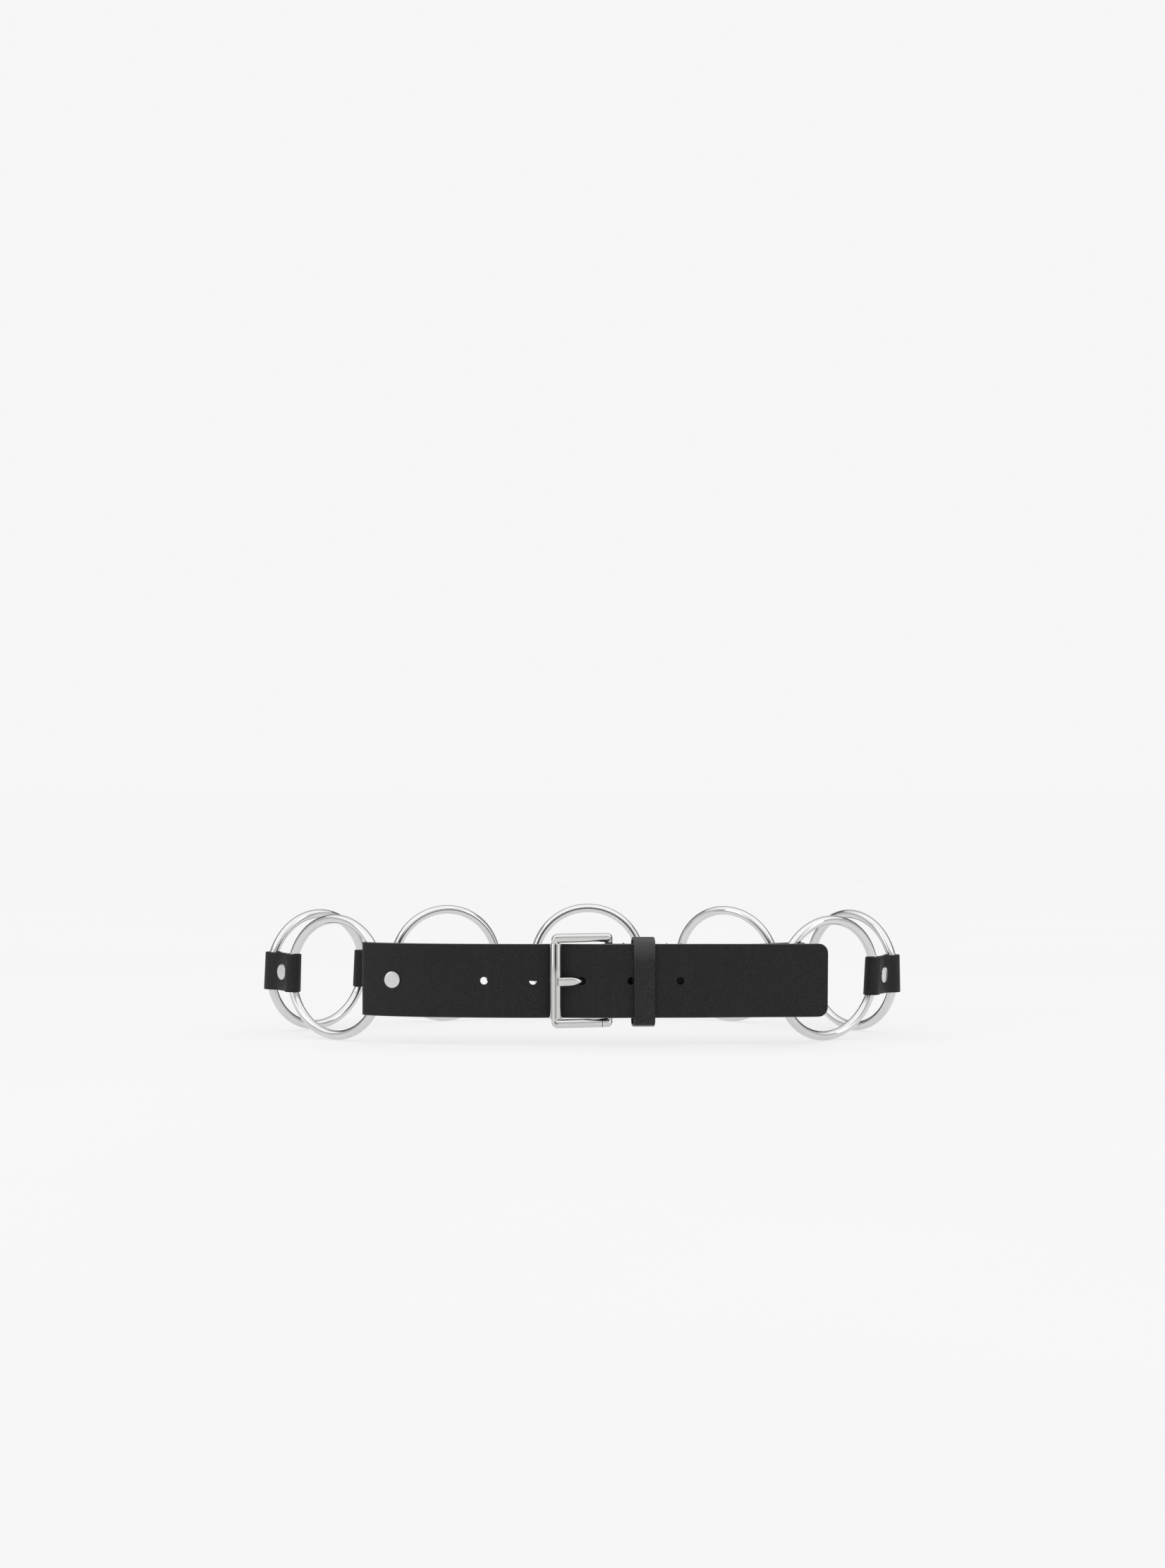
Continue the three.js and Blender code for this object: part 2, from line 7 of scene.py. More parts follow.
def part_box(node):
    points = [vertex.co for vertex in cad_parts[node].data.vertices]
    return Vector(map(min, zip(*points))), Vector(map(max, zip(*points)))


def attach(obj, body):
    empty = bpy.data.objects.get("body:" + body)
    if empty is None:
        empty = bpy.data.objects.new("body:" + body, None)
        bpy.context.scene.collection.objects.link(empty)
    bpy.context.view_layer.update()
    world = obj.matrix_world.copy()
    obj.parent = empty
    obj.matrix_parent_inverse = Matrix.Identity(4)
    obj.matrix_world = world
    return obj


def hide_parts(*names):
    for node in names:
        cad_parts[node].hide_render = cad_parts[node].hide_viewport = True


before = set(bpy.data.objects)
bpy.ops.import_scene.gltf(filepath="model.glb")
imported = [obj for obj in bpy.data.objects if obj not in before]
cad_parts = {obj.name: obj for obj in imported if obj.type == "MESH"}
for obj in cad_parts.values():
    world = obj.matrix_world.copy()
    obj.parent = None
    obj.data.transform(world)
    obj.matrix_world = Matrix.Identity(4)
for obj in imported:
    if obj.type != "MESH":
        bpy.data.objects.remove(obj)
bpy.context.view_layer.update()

millimetre = 0.001

# Sizes are in millimetres; pieces are modelled in metres
ringWire = {
    "line": 30.75,        # middle of the wire from the ring's centre
    "radius": 2.5,
    "aroundRing": 144,
    "aroundWire": 28,
    "weldLength": 5,      # degrees of the ring that the weld bulge takes
    "weldBulge": 0.05,
    "weldsAt": (200, 20, 170, 0, 180, 10, 160),       # degrees round each ring from its right end
}
ringStands = [            # x, y, turn of the ring's plane, lean of its top
    (-131.0, -40.9, -34.9, 0.0),
    (-146.5, 14.6, 41.2, -2.2),
    (-78.3, 61.8, 21.1, -2.7),
    (3.1, 75.5, 0.0, 0.0),
    (82.7, 58.6, -31.0, -6.4),
    (148.1, 9.4, -48.7, -1.9),
    (129.6, -46.6, 32.4, -4.9),
]
lastRing = ringStands[-1]
low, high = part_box("ring_4")
beltShift = ((low[0] + high[0]) / 2 / millimetre - ringStands[3][0],
             (low[1] + high[1]) / 2 / millimetre - ringStands[3][1])

strap = {
    "height": 38.2, "backHeight": 37.6, "thick": 1.8, "middle": 33.8,
    "foldTrim": 0.04,         # share by which the tip strap's folded layer is narrower
    "trimFrom": 2, "trimOver": 5, "finePast": 4,
    "holePitch": 25.4, "holeRadius": 1.98, "holeSides": 32, "drillDepth": 8,
    "start": -121.2, "tipEnd": 127.6, "tipCorner": 5.0, "edgeRound": 0.4,
    "pathStep": 0.6, "relaxing": 4,
    "station": 2.2, "fineStation": 0.8, "endRoom": 0.2,
    "leanFrom": 55,           # from here to the right the straps lean with the last ring
}
clearance = 0.3
lookAside = 0.5               # a line's direction is taken between points this far to either side
secondLayer = strap["thick"] + clearance


# Selecting and finishing pieces
def clearSelection():
    if bpy.context.object and bpy.context.object.mode != "OBJECT":
        bpy.ops.object.mode_set(mode="OBJECT")
    bpy.ops.object.select_all(action="DESELECT")


def activate(piece):
    clearSelection()
    piece.select_set(True)
    bpy.context.view_layer.objects.active = piece


def editAll(piece):
    activate(piece)
    bpy.ops.object.mode_set(mode="EDIT")
    bpy.ops.mesh.select_mode(type="VERT")
    bpy.ops.mesh.select_all(action="SELECT")


def endEdit():
    bpy.ops.object.mode_set(mode="OBJECT")


def pick(piece, mode, kind, wanted):
    editAll(piece)
    bpy.ops.mesh.select_mode(type=mode)
    bpy.ops.mesh.select_all(action="DESELECT")
    endEdit()
    for part in getattr(piece.data, kind):
        part.select = wanted(part)
    bpy.ops.object.mode_set(mode="EDIT")


def pickFaces(piece, wanted):
    pick(piece, "FACE", "polygons", lambda face: wanted(face.center, face.normal))


def pickEdges(piece, wanted):
    pick(piece, "EDGE", "edges", lambda edge: wanted(*(piece.data.vertices[i].co for i in edge.vertices)))


def roundPicked(width, segments):
    bpy.ops.mesh.bevel(offset=width * millimetre, segments=segments, affect="EDGES")
    endEdit()


def roundAlong(piece, axis, width, segments):
    # Rounds the edges that run along one axis
    pickEdges(piece, lambda start, end: abs(start[axis] - end[axis]) > millimetre)
    roundPicked(width, segments)


def openAlong(piece, axis):
    pickFaces(piece, lambda centre, normal: abs(normal[axis]) > 0.9)
    bpy.ops.mesh.delete(type="FACE")
    endEdit()


def applyPlace(piece):
    activate(piece)
    bpy.ops.object.transform_apply(location=True, rotation=True, scale=True)


def applyModifier(piece, kind, **settings):
    activate(piece)
    modifier = piece.modifiers.new(kind.lower(), kind)
    for key, value in settings.items():
        setattr(modifier, key, value)
    bpy.ops.object.modifier_apply(modifier=modifier.name)


def addBlock(name, size, centre):
    clearSelection()
    bpy.ops.mesh.primitive_cube_add(size=1, location=[c * millimetre for c in centre],
                                    scale=[s * millimetre for s in size])
    piece = bpy.context.object
    piece.name = name
    applyPlace(piece)
    return piece


def addRound(name, radius, depth, centre, turn=(0, 0, 0), sides=48):
    clearSelection()
    bpy.ops.mesh.primitive_cylinder_add(vertices=sides, radius=radius * millimetre, depth=depth * millimetre,
                                        location=[c * millimetre for c in centre], rotation=turn)
    piece = bpy.context.object
    piece.name = name
    applyPlace(piece)
    return piece


def joined(name, parts):
    clearSelection()
    for part in parts:
        part.select_set(True)
    bpy.context.view_layer.objects.active = parts[0]
    bpy.ops.object.join()
    parts[0].name = name
    return parts[0]


def copied(piece, name):
    # What repeats is modelled once; each copy gets a mesh of its own
    activate(piece)
    bpy.ops.object.duplicate(linked=False)
    copy = bpy.context.object
    copy.name = name
    return copy


def dropped(piece):
    bpy.data.objects.remove(piece, do_unlink=True)


def placed(piece, matrix):
    piece.matrix_world = matrix
    applyPlace(piece)
    return piece


def tidyNormals(piece):
    editAll(piece)
    bpy.ops.mesh.remove_doubles(threshold=0.01 * millimetre)
    bpy.ops.mesh.select_all(action="SELECT")
    bpy.ops.mesh.normals_make_consistent(inside=False)
    endEdit()


def finished(piece, nodes, material, sharpAngle=35):
    activate(piece)
    bpy.ops.object.shade_smooth_by_angle(angle=math.radians(sharpAngle))
    if material is not None:
        piece.data.materials.clear()
        piece.data.materials.append(material)
    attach(piece, "root")
    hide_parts(*nodes)
    return piece


# The straps' middle lines, seen from above
frontStops = [(-118, -55.2), (-108, -61.6), (-95, -66.5), (-75, -70.7), (-40, -73.8),
              (10, -74.2), (70, -72.8), (110, -70.9), (130, -68.6)]
lift = {"overHinge": 1.0, "underRoller": 1.2, "reach": 7.0}
hingeBar = {"at": 13.6, "radius": 1.75}
rollerBar = {"at": -13.7, "radius": 1.6}
roller = {"radius": 3.2, "length": 38.8, "wall": 1.0, "edgeRound": 0.25,
          "reflectionBands": [(-2.0, 0.35, 0.16), (0.1, 0.75, 0.28)]}     # painted reflections: dark bands along the tube; place, half width, tone
bend = {"clearFrom": 50, "clearTo": 85, "from": 97, "rate": 0.02}
rivetCap = {"radius": 4.35, "thick": 0.7, "backRadius": 3.2, "sides": 48, "edge": 0.42, "rim": 0.5, "dish": 0.05,
            "dishShare": 0.35, "shankRadius": 1.7, "shankSides": 20}
hingeDepth = secondLayer + strap["thick"] / 2 + clearance + hingeBar["radius"]
rollerDepth = -(strap["thick"] / 2 + clearance + roller["radius"])


def splineThrough(stops, steps=24):
    points = []
    for i in range(len(stops) - 1):
        before, start, end, after = (Vector(stops[max(min(i + k, len(stops) - 1), 0)]) for k in (-1, 0, 1, 2))
        pull, push = (end - before) / 2, (after - start) / 2
        for k in range(steps):
            t = k / steps
            points.append((2 * start - 2 * end + pull + push) * t ** 3
                          + (-3 * start + 3 * end - 2 * pull - push) * t ** 2 + pull * t + start)
    points.append(Vector(stops[-1]))
    return points


frontLine = splineThrough(frontStops)


def lengthsOf(points):
    lengths = [0.0]
    for i in range(1, len(points)):
        lengths.append(lengths[-1] + (points[i] - points[i - 1]).length)
    return lengths


frontLengths = lengthsOf(frontLine)


def alongFront(distance):
    target = min(max(distance - strap["start"], 0.001), frontLengths[-1] - 0.001)
    i = max(k for k in range(len(frontLengths) - 1) if frontLengths[k] <= target)
    share = (target - frontLengths[i]) / (frontLengths[i + 1] - frontLengths[i])
    heading = frontLine[min(i + 2, len(frontLine) - 1)] - frontLine[max(i - 1, 0)]
    return frontLine[i].lerp(frontLine[i + 1], share), heading.normalized()


def smooth(value):
    share = min(max(value, 0.0), 1.0)
    return share * share * (3 - 2 * share)


def bump(distance, middle):
    return math.exp(-(((distance - middle) / lift["reach"]) ** 2))


def frontPoint(distance, depth):
    point, along = alongFront(distance)
    raised = lift["overHinge"] * bump(distance, hingeBar["at"])
    pressed = lift["underRoller"] * bump(distance, rollerBar["at"])
    total = depth - raised + pressed
    return Vector((point.x - along.y * total, point.y + along.x * total))


def longLayer(distance):
    forCap = rivetCap["thick"] + clearance
    forCap *= smooth((distance - bend["clearFrom"]) / (bend["clearTo"] - bend["clearFrom"]))
    turned = bend["rate"] * max(0.0, distance - bend["from"]) ** 2
    return frontPoint(distance, secondLayer + forCap + turned)


def backPoint(distance, depth):
    along = (longLayer(distance + lookAside) - longLayer(distance - lookAside)).normalized()
    point = longLayer(distance)
    return Vector((point.x - along.y * depth, point.y + along.x * depth))


def turnAt(place, distance):
    along = place(distance + lookAside, 0) - place(distance - lookAside, 0)
    return math.atan2(along.y, along.x)


def layer(place, stops):
    points = [place(*stops[0])]
    for (fromAt, fromDepth), (toAt, toDepth) in zip(stops, stops[1:]):
        count = max(1, round(abs(toAt - fromAt) / strap["pathStep"]))
        for k in range(1, count + 1):
            share = k / count
            points.append(place(fromAt + (toAt - fromAt) * share, fromDepth + (toDepth - fromDepth) * share))
    return points


def halfTurn(place, at, fromDepth, toDepth, side, steps=24):
    centre = place(at, (fromDepth + toDepth) / 2)
    turn = Matrix.Rotation(turnAt(place, at), 2)
    radius = (toDepth - fromDepth) / 2
    points = []
    for k in range(1, steps):
        angle = math.pi * k / steps
        across, deep = side * abs(radius) * math.sin(angle), -radius * math.cos(angle)
        points.append(centre + turn @ Vector((across, deep)))
    return points


def relaxed(points):
    for _ in range(strap["relaxing"]):
        between = [(a + 2 * b + c) / 4 for a, b, c in zip(points, points[1:], points[2:])]
        points = [points[0]] + between + [points[-1]]
    return points


def lengthAt(points, target):
    lengths = lengthsOf(points)
    nearest = min(range(len(points)), key=lambda i: (points[i] - target).length)
    ahead = (points[min(nearest + 1, len(points) - 1)] - points[max(nearest - 1, 0)]).normalized()
    return lengths[nearest] + (target - points[nearest]).dot(ahead)


# Each ring stands on the floor, turned and leaning as in ringStands
def ringTurn(stand):
    return Matrix.Rotation(math.radians(stand[2]), 4, "Z") @ Matrix.Rotation(math.radians(-stand[3]), 4, "X")


def ringHeight(stand):
    return ringWire["line"] * math.cos(math.radians(stand[3])) + ringWire["radius"]


def wirePoint(stand, end, height):
    up = (height - ringHeight(stand)) / math.cos(math.radians(stand[3]))
    across = end * math.sqrt(ringWire["line"] ** 2 - up ** 2)
    point = ringTurn(stand) @ Vector((across, 0, up))
    return Vector((stand[0] + point.x, stand[1] + point.y))


def shifted(point):
    return Vector((point[0] + beltShift[0], point[1] + beltShift[1]))


def modelRing():
    clearSelection()
    bpy.ops.mesh.primitive_torus_add(
        major_radius=ringWire["line"] * millimetre, minor_radius=ringWire["radius"] * millimetre,
        major_segments=ringWire["aroundRing"], minor_segments=ringWire["aroundWire"],
        rotation=(math.pi / 2, 0, 0))
    ring = bpy.context.object
    applyPlace(ring)
    # The weld is a faint swelling of the wire on one side
    for vertex in ring.data.vertices:
        away = abs(math.degrees(math.atan2(vertex.co.z, vertex.co.x)))
        swell = 1 + ringWire["weldBulge"] * math.exp(-(away / ringWire["weldLength"]) ** 2)
        middle = Vector((vertex.co.x, 0, vertex.co.z)).normalized() * ringWire["line"] * millimetre
        vertex.co = middle + (vertex.co - middle) * swell
    return ring


def makeRing(model, index, weldAt, material):
    stand = ringStands[index]
    ring = copied(model, f"ring{index + 1}")
    x, y = shifted(stand)
    place = Matrix.Translation(Vector((x, y, ringHeight(stand))) * millimetre) @ ringTurn(stand)
    placed(ring, place @ Matrix.Rotation(math.radians(-weldAt), 4, "Y"))
    return finished(ring, [f"ring_{index + 1}"], material, 60)


# A strap is a flat block, drilled, then bent along its line
def strapLine(name, points):
    line = bpy.data.curves.new(name, "CURVE")
    line.dimensions = "3D"
    line.twist_mode = "Z_UP"
    spline = line.splines.new("POLY")
    spline.points.add(len(points) - 1)
    for target, point in zip(spline.points, points):
        x, y = shifted(point)
        target.co = (x * millimetre, y * millimetre, 0, 1)
    guide = bpy.data.objects.new(name, line)
    bpy.context.collection.objects.link(guide)
    return guide


def roundEdges(piece, width, segments=3, angle=40):
    applyModifier(piece, "BEVEL", width=width * millimetre, segments=segments, limit_method="ANGLE",
                  angle_limit=math.radians(angle), use_clamp_overlap=True, harden_normals=False)


def cutAcross(piece, stations):
    editAll(piece)
    for station in stations:
        bpy.ops.mesh.select_all(action="SELECT")
        bpy.ops.mesh.bisect(plane_co=(station * millimetre, 0, 0), plane_no=(1, 0, 0))
    endEdit()


def cutOut(piece, tools):
    for tool in tools:
        applyModifier(piece, "BOOLEAN", object=tool, operation="DIFFERENCE", solver="EXACT")
        dropped(tool)


def leanShare(x):
    lastLeft = lastRing[0] - ringWire["line"] - ringWire["radius"]
    return smooth((x - strap["leanFrom"]) / (lastLeft - strap["leanFrom"]))


def leanWithLastRing(piece, sideways):
    up = ringTurn(lastRing) @ Vector((0, 0, 1))
    up.x *= sideways
    for vertex in piece.data.vertices:
        x = vertex.co.x / millimetre - beltShift[0]
        share = leanShare(x) * (vertex.co.z - strap["middle"] * millimetre) / up.z
        vertex.co.x += up.x * share
        vertex.co.y += up.y * share


def bendAlong(piece, points):
    guide = strapLine(piece.name + "Line", points)
    applyModifier(piece, "CURVE", object=guide, deform_axis="POS_X")
    dropped(guide)


tipFold = {"at": -114.9, "depth": 8, "wireAt": -107.2, "rivetAt": -99.2, "flatAt": -95.6, "end": -92}
ringFold = {"at": 114.2, "depth": 8, "wireAt": 104, "rivetAt": 96.4, "flatAt": 91.4, "end": 88}


def foldedDepth(fold, distance):
    share = (distance - fold["flatAt"]) / (fold["wireAt"] - fold["flatAt"])
    return secondLayer + (fold["depth"] - secondLayer) * min(max(share, 0.0), 1.0)


def foldedStops(fold):
    return [(fold[key], foldedDepth(fold, fold[key])) for key in ("at", "wireAt", "rivetAt", "flatAt", "end")]


def stationsOf(length, fineSpans):
    stations, at = [], strap["station"]
    while at < length - strap["endRoom"]:
        stations.append(at)
        near = any(start <= at < end for start, end in fineSpans)
        at += strap["fineStation"] if near else strap["station"]
    return stations


def flatStrap(name, points, height):
    length = lengthsOf(points)[-1]
    return addBlock(name, (length, strap["thick"], height), (length / 2, 0, strap["middle"])), length


def strapDrills(points, place, holes):
    # For holes counted from the middle one, in a strap that still lies flat
    spots = [lengthAt(points, place(k * strap["holePitch"], 0)) for k in holes]
    return [addRound("drill", strap["holeRadius"], strap["drillDepth"], (at, 0, strap["middle"]),
                     (math.pi / 2, 0, 0), strap["holeSides"]) for at in spots]


def makeTipStrap(material):
    points = layer(frontPoint, foldedStops(tipFold))[::-1]
    points += halfTurn(frontPoint, tipFold["at"], 0, tipFold["depth"], -1)[::-1]
    points += layer(frontPoint, [(tipFold["at"], 0), (strap["tipEnd"], 0)])
    points = relaxed(points)
    piece, length = flatStrap("tipStrap", points, strap["height"])
    lastBit = (length - 1) * millimetre
    pickEdges(piece, lambda start, end: min(start.x, end.x) > lastBit and abs(start.y - end.y) > millimetre)
    roundPicked(strap["tipCorner"], 8)
    cutOut(piece, strapDrills(points, frontPoint, (-2, -1, 0, 1, 2)))
    roundEdges(piece, strap["edgeRound"])
    foldAt = lengthAt(points, frontPoint(tipFold["at"], 0))
    cutAcross(piece, stationsOf(length, [(0, foldAt + strap["finePast"])]))
    # The folded layer is trimmed a little narrower than the front
    middle = strap["middle"] * millimetre
    for vertex in piece.data.vertices:
        trim = 1 - strap["foldTrim"] * smooth((foldAt - strap["trimFrom"] - vertex.co.x / millimetre) / strap["trimOver"])
        vertex.co.z = middle + (vertex.co.z - middle) * trim
    bendAlong(piece, points)
    leanWithLastRing(piece, 0)
    tidyNormals(piece)
    return finished(piece, ["tip_strap"], material)


keeper = {"at": 32.3, "width": 11, "height": 46.4, "thick": 1.5, "corner": 3.4, "skew": 1.4, "middle": 33.3,
          "edgeRound": 0.35}
keeperFront = -(strap["thick"] / 2 + clearance + keeper["thick"])
keeperBack = secondLayer + strap["thick"] / 2 + clearance + keeper["thick"]
shortLayer = {"slope": 5, "end": 54}
prongSlot = {"from": 9, "height": 5.4, "depth": 8, "pastShare": 0.4, "corner": 2.4}
stitch = {"rows": (22, 44, 51.5), "length": 2.5, "pitch": 3.1, "count": 11, "radius": 0.32, "slant": 0.25,
          "sides": 10}


def modelThread(length, material):
    # One visible length of thread, drawn in at both ends
    radius = stitch["radius"]
    bit = addRound("thread", radius, length, (0, 0, 0), sides=stitch["sides"])
    pickFaces(bit, lambda centre, normal: abs(normal.z) > 0.9)
    roundPicked(radius * 0.6, 3)
    bit.data.materials.append(material)
    return bit


def laidThread(model, start, end):
    bit = copied(model, "stitch")
    turn = (end - start).to_track_quat("Z", "Y").to_matrix().to_4x4()
    return placed(bit, Matrix.Translation((start + end) / 2 * millimetre) @ turn)


def makeStitches(material):
    half = strap["backHeight"] / 2
    rows = []
    for at in stitch["rows"]:
        single = at > keeper["at"] + keeper["width"] / 2 + shortLayer["slope"]
        depth = secondLayer if single else 2 * (hingeDepth - secondLayer)
        outside = shifted(backPoint(at, depth + strap["thick"] / 2 + stitch["radius"] * 0.4))
        rows.append((shifted(backPoint(at, -strap["thick"] / 2)), outside))
    bits = []
    model = modelThread(stitch["length"], material)
    for _, outside in rows:
        for k in range(stitch["count"]):
            z = strap["middle"] + (k - (stitch["count"] - 1) / 2) * stitch["pitch"]
            slant, reach = stitch["slant"], stitch["length"] / 2
            bits.append(laidThread(model, Vector((outside.x - slant, outside.y, z - reach)),
                                   Vector((outside.x + slant, outside.y, z + reach))))
    dropped(model)
    # The thread is turned over both edges of the strap
    for front, outside in rows:
        model = modelThread((outside - front).length, material)
        for side in (-1, 1):
            z = strap["middle"] + side * (half + stitch["radius"] * 0.3)
            start, end = Vector((front.x, front.y, z)), Vector((outside.x, outside.y, z))
            bits.append(laidThread(model, start, end))
        dropped(model)
    return bits


def makeBuckleStrap(material, threadMaterial):
    around = hingeDepth - secondLayer
    overKeeper = strap["thick"] + 2 * clearance + keeper["thick"]
    keeperStart, keeperEnd = (keeper["at"] + side * keeper["width"] / 2 for side in (-1, 1))
    points = layer(backPoint, [
        (shortLayer["end"], secondLayer), (keeperEnd + shortLayer["slope"], secondLayer),
        (keeperEnd, overKeeper), (keeperStart, overKeeper), (hingeBar["at"], 2 * around)])
    turnStart = lengthsOf(points)[-1]
    points += halfTurn(backPoint, hingeBar["at"], 2 * around, 0, -1)
    points += layer(backPoint, [(hingeBar["at"], 0), (ringFold["at"], 0)])
    points += halfTurn(backPoint, ringFold["at"], 0, ringFold["depth"], 1)
    points += layer(backPoint, foldedStops(ringFold))
    points = relaxed(points)
    piece, length = flatStrap("buckleStrap", points, strap["backHeight"])
    slotMiddle = turnStart + math.pi * around / 2
    slotLength = math.pi * around + 2 * (hingeBar["at"] - prongSlot["from"]) * prongSlot["pastShare"]
    slot = addBlock("slot", (slotLength, prongSlot["depth"], prongSlot["height"]),
                    (slotMiddle, 0, strap["middle"]))
    roundAlong(slot, 1, prongSlot["corner"], 6)
    # The long layer has holes of its own behind two of the tip strap's
    cutOut(piece, [slot] + strapDrills(points, backPoint, (1, 2)))
    roundEdges(piece, strap["edgeRound"])
    foldAt = lengthAt(points, backPoint(ringFold["at"], 0))
    cutAcross(piece, stationsOf(length, [(turnStart - 6, turnStart + 16), (foldAt - strap["finePast"], length)]))
    bendAlong(piece, points)
    leanWithLastRing(piece, 1)
    tidyNormals(piece)
    piece.data.materials.append(material)
    piece = joined("buckleStrap", [piece] + makeStitches(threadMaterial))
    return finished(piece, ["buckle_strap"], None)


def makeKeeper(material):
    depth = keeperBack - keeperFront
    piece = addBlock("keeperLoop", (keeper["width"], depth, keeper["height"]), (0, 0, 0))
    roundAlong(piece, 0, keeper["corner"], 8)
    openAlong(piece, 0)
    applyModifier(piece, "SOLIDIFY", thickness=keeper["thick"] * millimetre, offset=-1)
    roundEdges(piece, keeper["edgeRound"])
    for vertex in piece.data.vertices:
        vertex.co.x -= keeper["skew"] * (vertex.co.y / depth + 0.5 * millimetre)
    point = frontPoint(keeper["at"], (keeperFront + keeperBack) / 2)
    placed(piece, uprightPlace(point, turnAt(frontPoint, keeper["at"]), 0, keeper["middle"]))
    tidyNormals(piece)
    return finished(piece, ["keeper_loop"], material)


# A tab wraps the wires of two rings
tab = {"height": 20.3, "thick": 1.4, "waist": 4.2, "slack": 0.3, "settle": 0.55, "edgeRound": 0.35,
       "heightSteps": 4, "sideSteps": 14, "endSteps": 12, "room": 1, "underCap": 0.05}
tabJoins = [
    {"from": 0, "fromEnd": -1, "to": 1, "toEnd": -1, "middle": 34.1, "rivetShift": -1.6, "rivetTurn": -1},
    {"from": 1, "fromEnd": 1, "to": 2, "toEnd": -1, "middle": 32.4, "rivetShift": 0, "rivetTurn": 0},
    {"from": 2, "fromEnd": 1, "to": 3, "toEnd": -1, "middle": 32.2, "rivetShift": 0, "rivetTurn": 0},
    {"from": 3, "fromEnd": 1, "to": 4, "toEnd": -1, "middle": 32.4, "rivetShift": 0, "rivetTurn": 0},
    {"from": 4, "fromEnd": 1, "to": 5, "toEnd": -1, "middle": 32.6, "rivetShift": 0, "rivetTurn": 0},
    {"from": 5, "fromEnd": 1, "to": 6, "toEnd": 1, "middle": 33.1, "rivetShift": 0.6, "rivetTurn": 9},
]


def tabFacts(join):
    start = wirePoint(ringStands[join["from"]], join["fromEnd"], join["middle"])
    finish = wirePoint(ringStands[join["to"]], join["toEnd"], join["middle"])
    return start, finish, finish - start


def tabShift(join, share, height):
    start, finish, _ = tabFacts(join)
    moveStart = wirePoint(ringStands[join["from"]], join["fromEnd"], height) - start
    moveFinish = wirePoint(ringStands[join["to"]], join["toEnd"], height) - finish
    return moveStart * (1 - share) + moveFinish * share


def stiffShift(join, share, height):
    # The leather is stiff: its ends lean with the wires but stay straight from top to bottom
    reach = tab["height"] / 2
    top = tabShift(join, share, join["middle"] + reach)
    bottom = tabShift(join, share, join["middle"] - reach)
    return (top - bottom) / 2 * (height - join["middle"]) / reach + (top + bottom) / 2 * tab["settle"]


def tabLine(wireAt, waistAt):
    reach = ringWire["radius"] + tab["slack"] + tab["thick"] / 2

    def halfWidth(x):
        fromWaist = abs(x - waistAt) - tab["waist"]
        room = wireAt - tab["room"] - math.copysign(1, x) * waistAt - tab["waist"]
        return tab["thick"] / 2 + (reach - tab["thick"] / 2) * smooth(fromWaist / room)

    steps = tab["sideSteps"]
    side = [Vector((wireAt * k / steps, halfWidth(wireAt * k / steps))) for k in range(-steps, steps + 1)]
    end = []
    for k in range(1, tab["endSteps"]):
        angle = math.pi / 2 - math.pi * k / tab["endSteps"]
        end.append(Vector((wireAt + reach * math.cos(angle), reach * math.sin(angle))))
    return side + end + [Vector((p.x, -p.y)) for p in side[::-1]] + [Vector((-p.x, -p.y)) for p in end]


def makeTab(index, material):
    join = tabJoins[index]
    start, finish, along = tabFacts(join)
    wireAt = along.length / 2
    middle = start.lerp(finish, 0.5)
    outline = tabLine(wireAt, join["rivetShift"])
    clearSelection()
    bpy.ops.mesh.primitive_circle_add(vertices=len(outline), radius=10 * millimetre)
    piece = bpy.context.object
    piece.name = f"tab{index + 1}"
    bottom = join["middle"] - tab["height"] / 2
    for vertex, point in zip(piece.data.vertices, outline):
        vertex.co = Vector((point.x, point.y, bottom)) * millimetre
    editAll(piece)
    for _ in range(tab["heightSteps"]):
        step = tab["height"] / tab["heightSteps"] * millimetre
        bpy.ops.mesh.extrude_region_move(TRANSFORM_OT_translate={"value": (0, 0, step)})
    bpy.ops.mesh.select_all(action="SELECT")
    bpy.ops.mesh.normals_make_consistent(inside=False)
    endEdit()
    spin = Matrix.Rotation(math.atan2(along.y, along.x), 2)
    slope = math.tan(math.radians(join["rivetTurn"]))
    for vertex in piece.data.vertices:
        x, y, z = vertex.co / millimetre
        share = smooth(0.5 + x / (2 * wireAt))
        fromRivet = x - join["rivetShift"]
        y += slope * fromRivet * math.exp(-((fromRivet / tab["waist"]) ** 2) / 2)
        point = shifted(spin @ Vector((x, y)) + middle + stiffShift(join, share, z))
        vertex.co = Vector((point.x, point.y, z)) * millimetre
    applyModifier(piece, "SOLIDIFY", thickness=tab["thick"] * millimetre, offset=0, use_even_offset=True)
    roundEdges(piece, tab["edgeRound"])
    return finished(piece, [f"tab_{index + 1}"], material, 50)


# A rivet is two caps on a shank
def capShape(name, radius, thick):
    cap = addRound(name, radius, thick, (0, 0, thick / 2), sides=rivetCap["sides"])
    pickFaces(cap, lambda centre, normal: normal.z > 0.9)
    roundPicked(rivetCap["edge"], 4)
    pickFaces(cap, lambda centre, normal: normal.z > 0.99)
    bpy.ops.mesh.inset(thickness=rivetCap["rim"] * millimetre, depth=0)
    bpy.ops.mesh.inset(thickness=radius * rivetCap["dishShare"] * millimetre, depth=rivetCap["dish"] * millimetre)
    endEdit()
    return cap


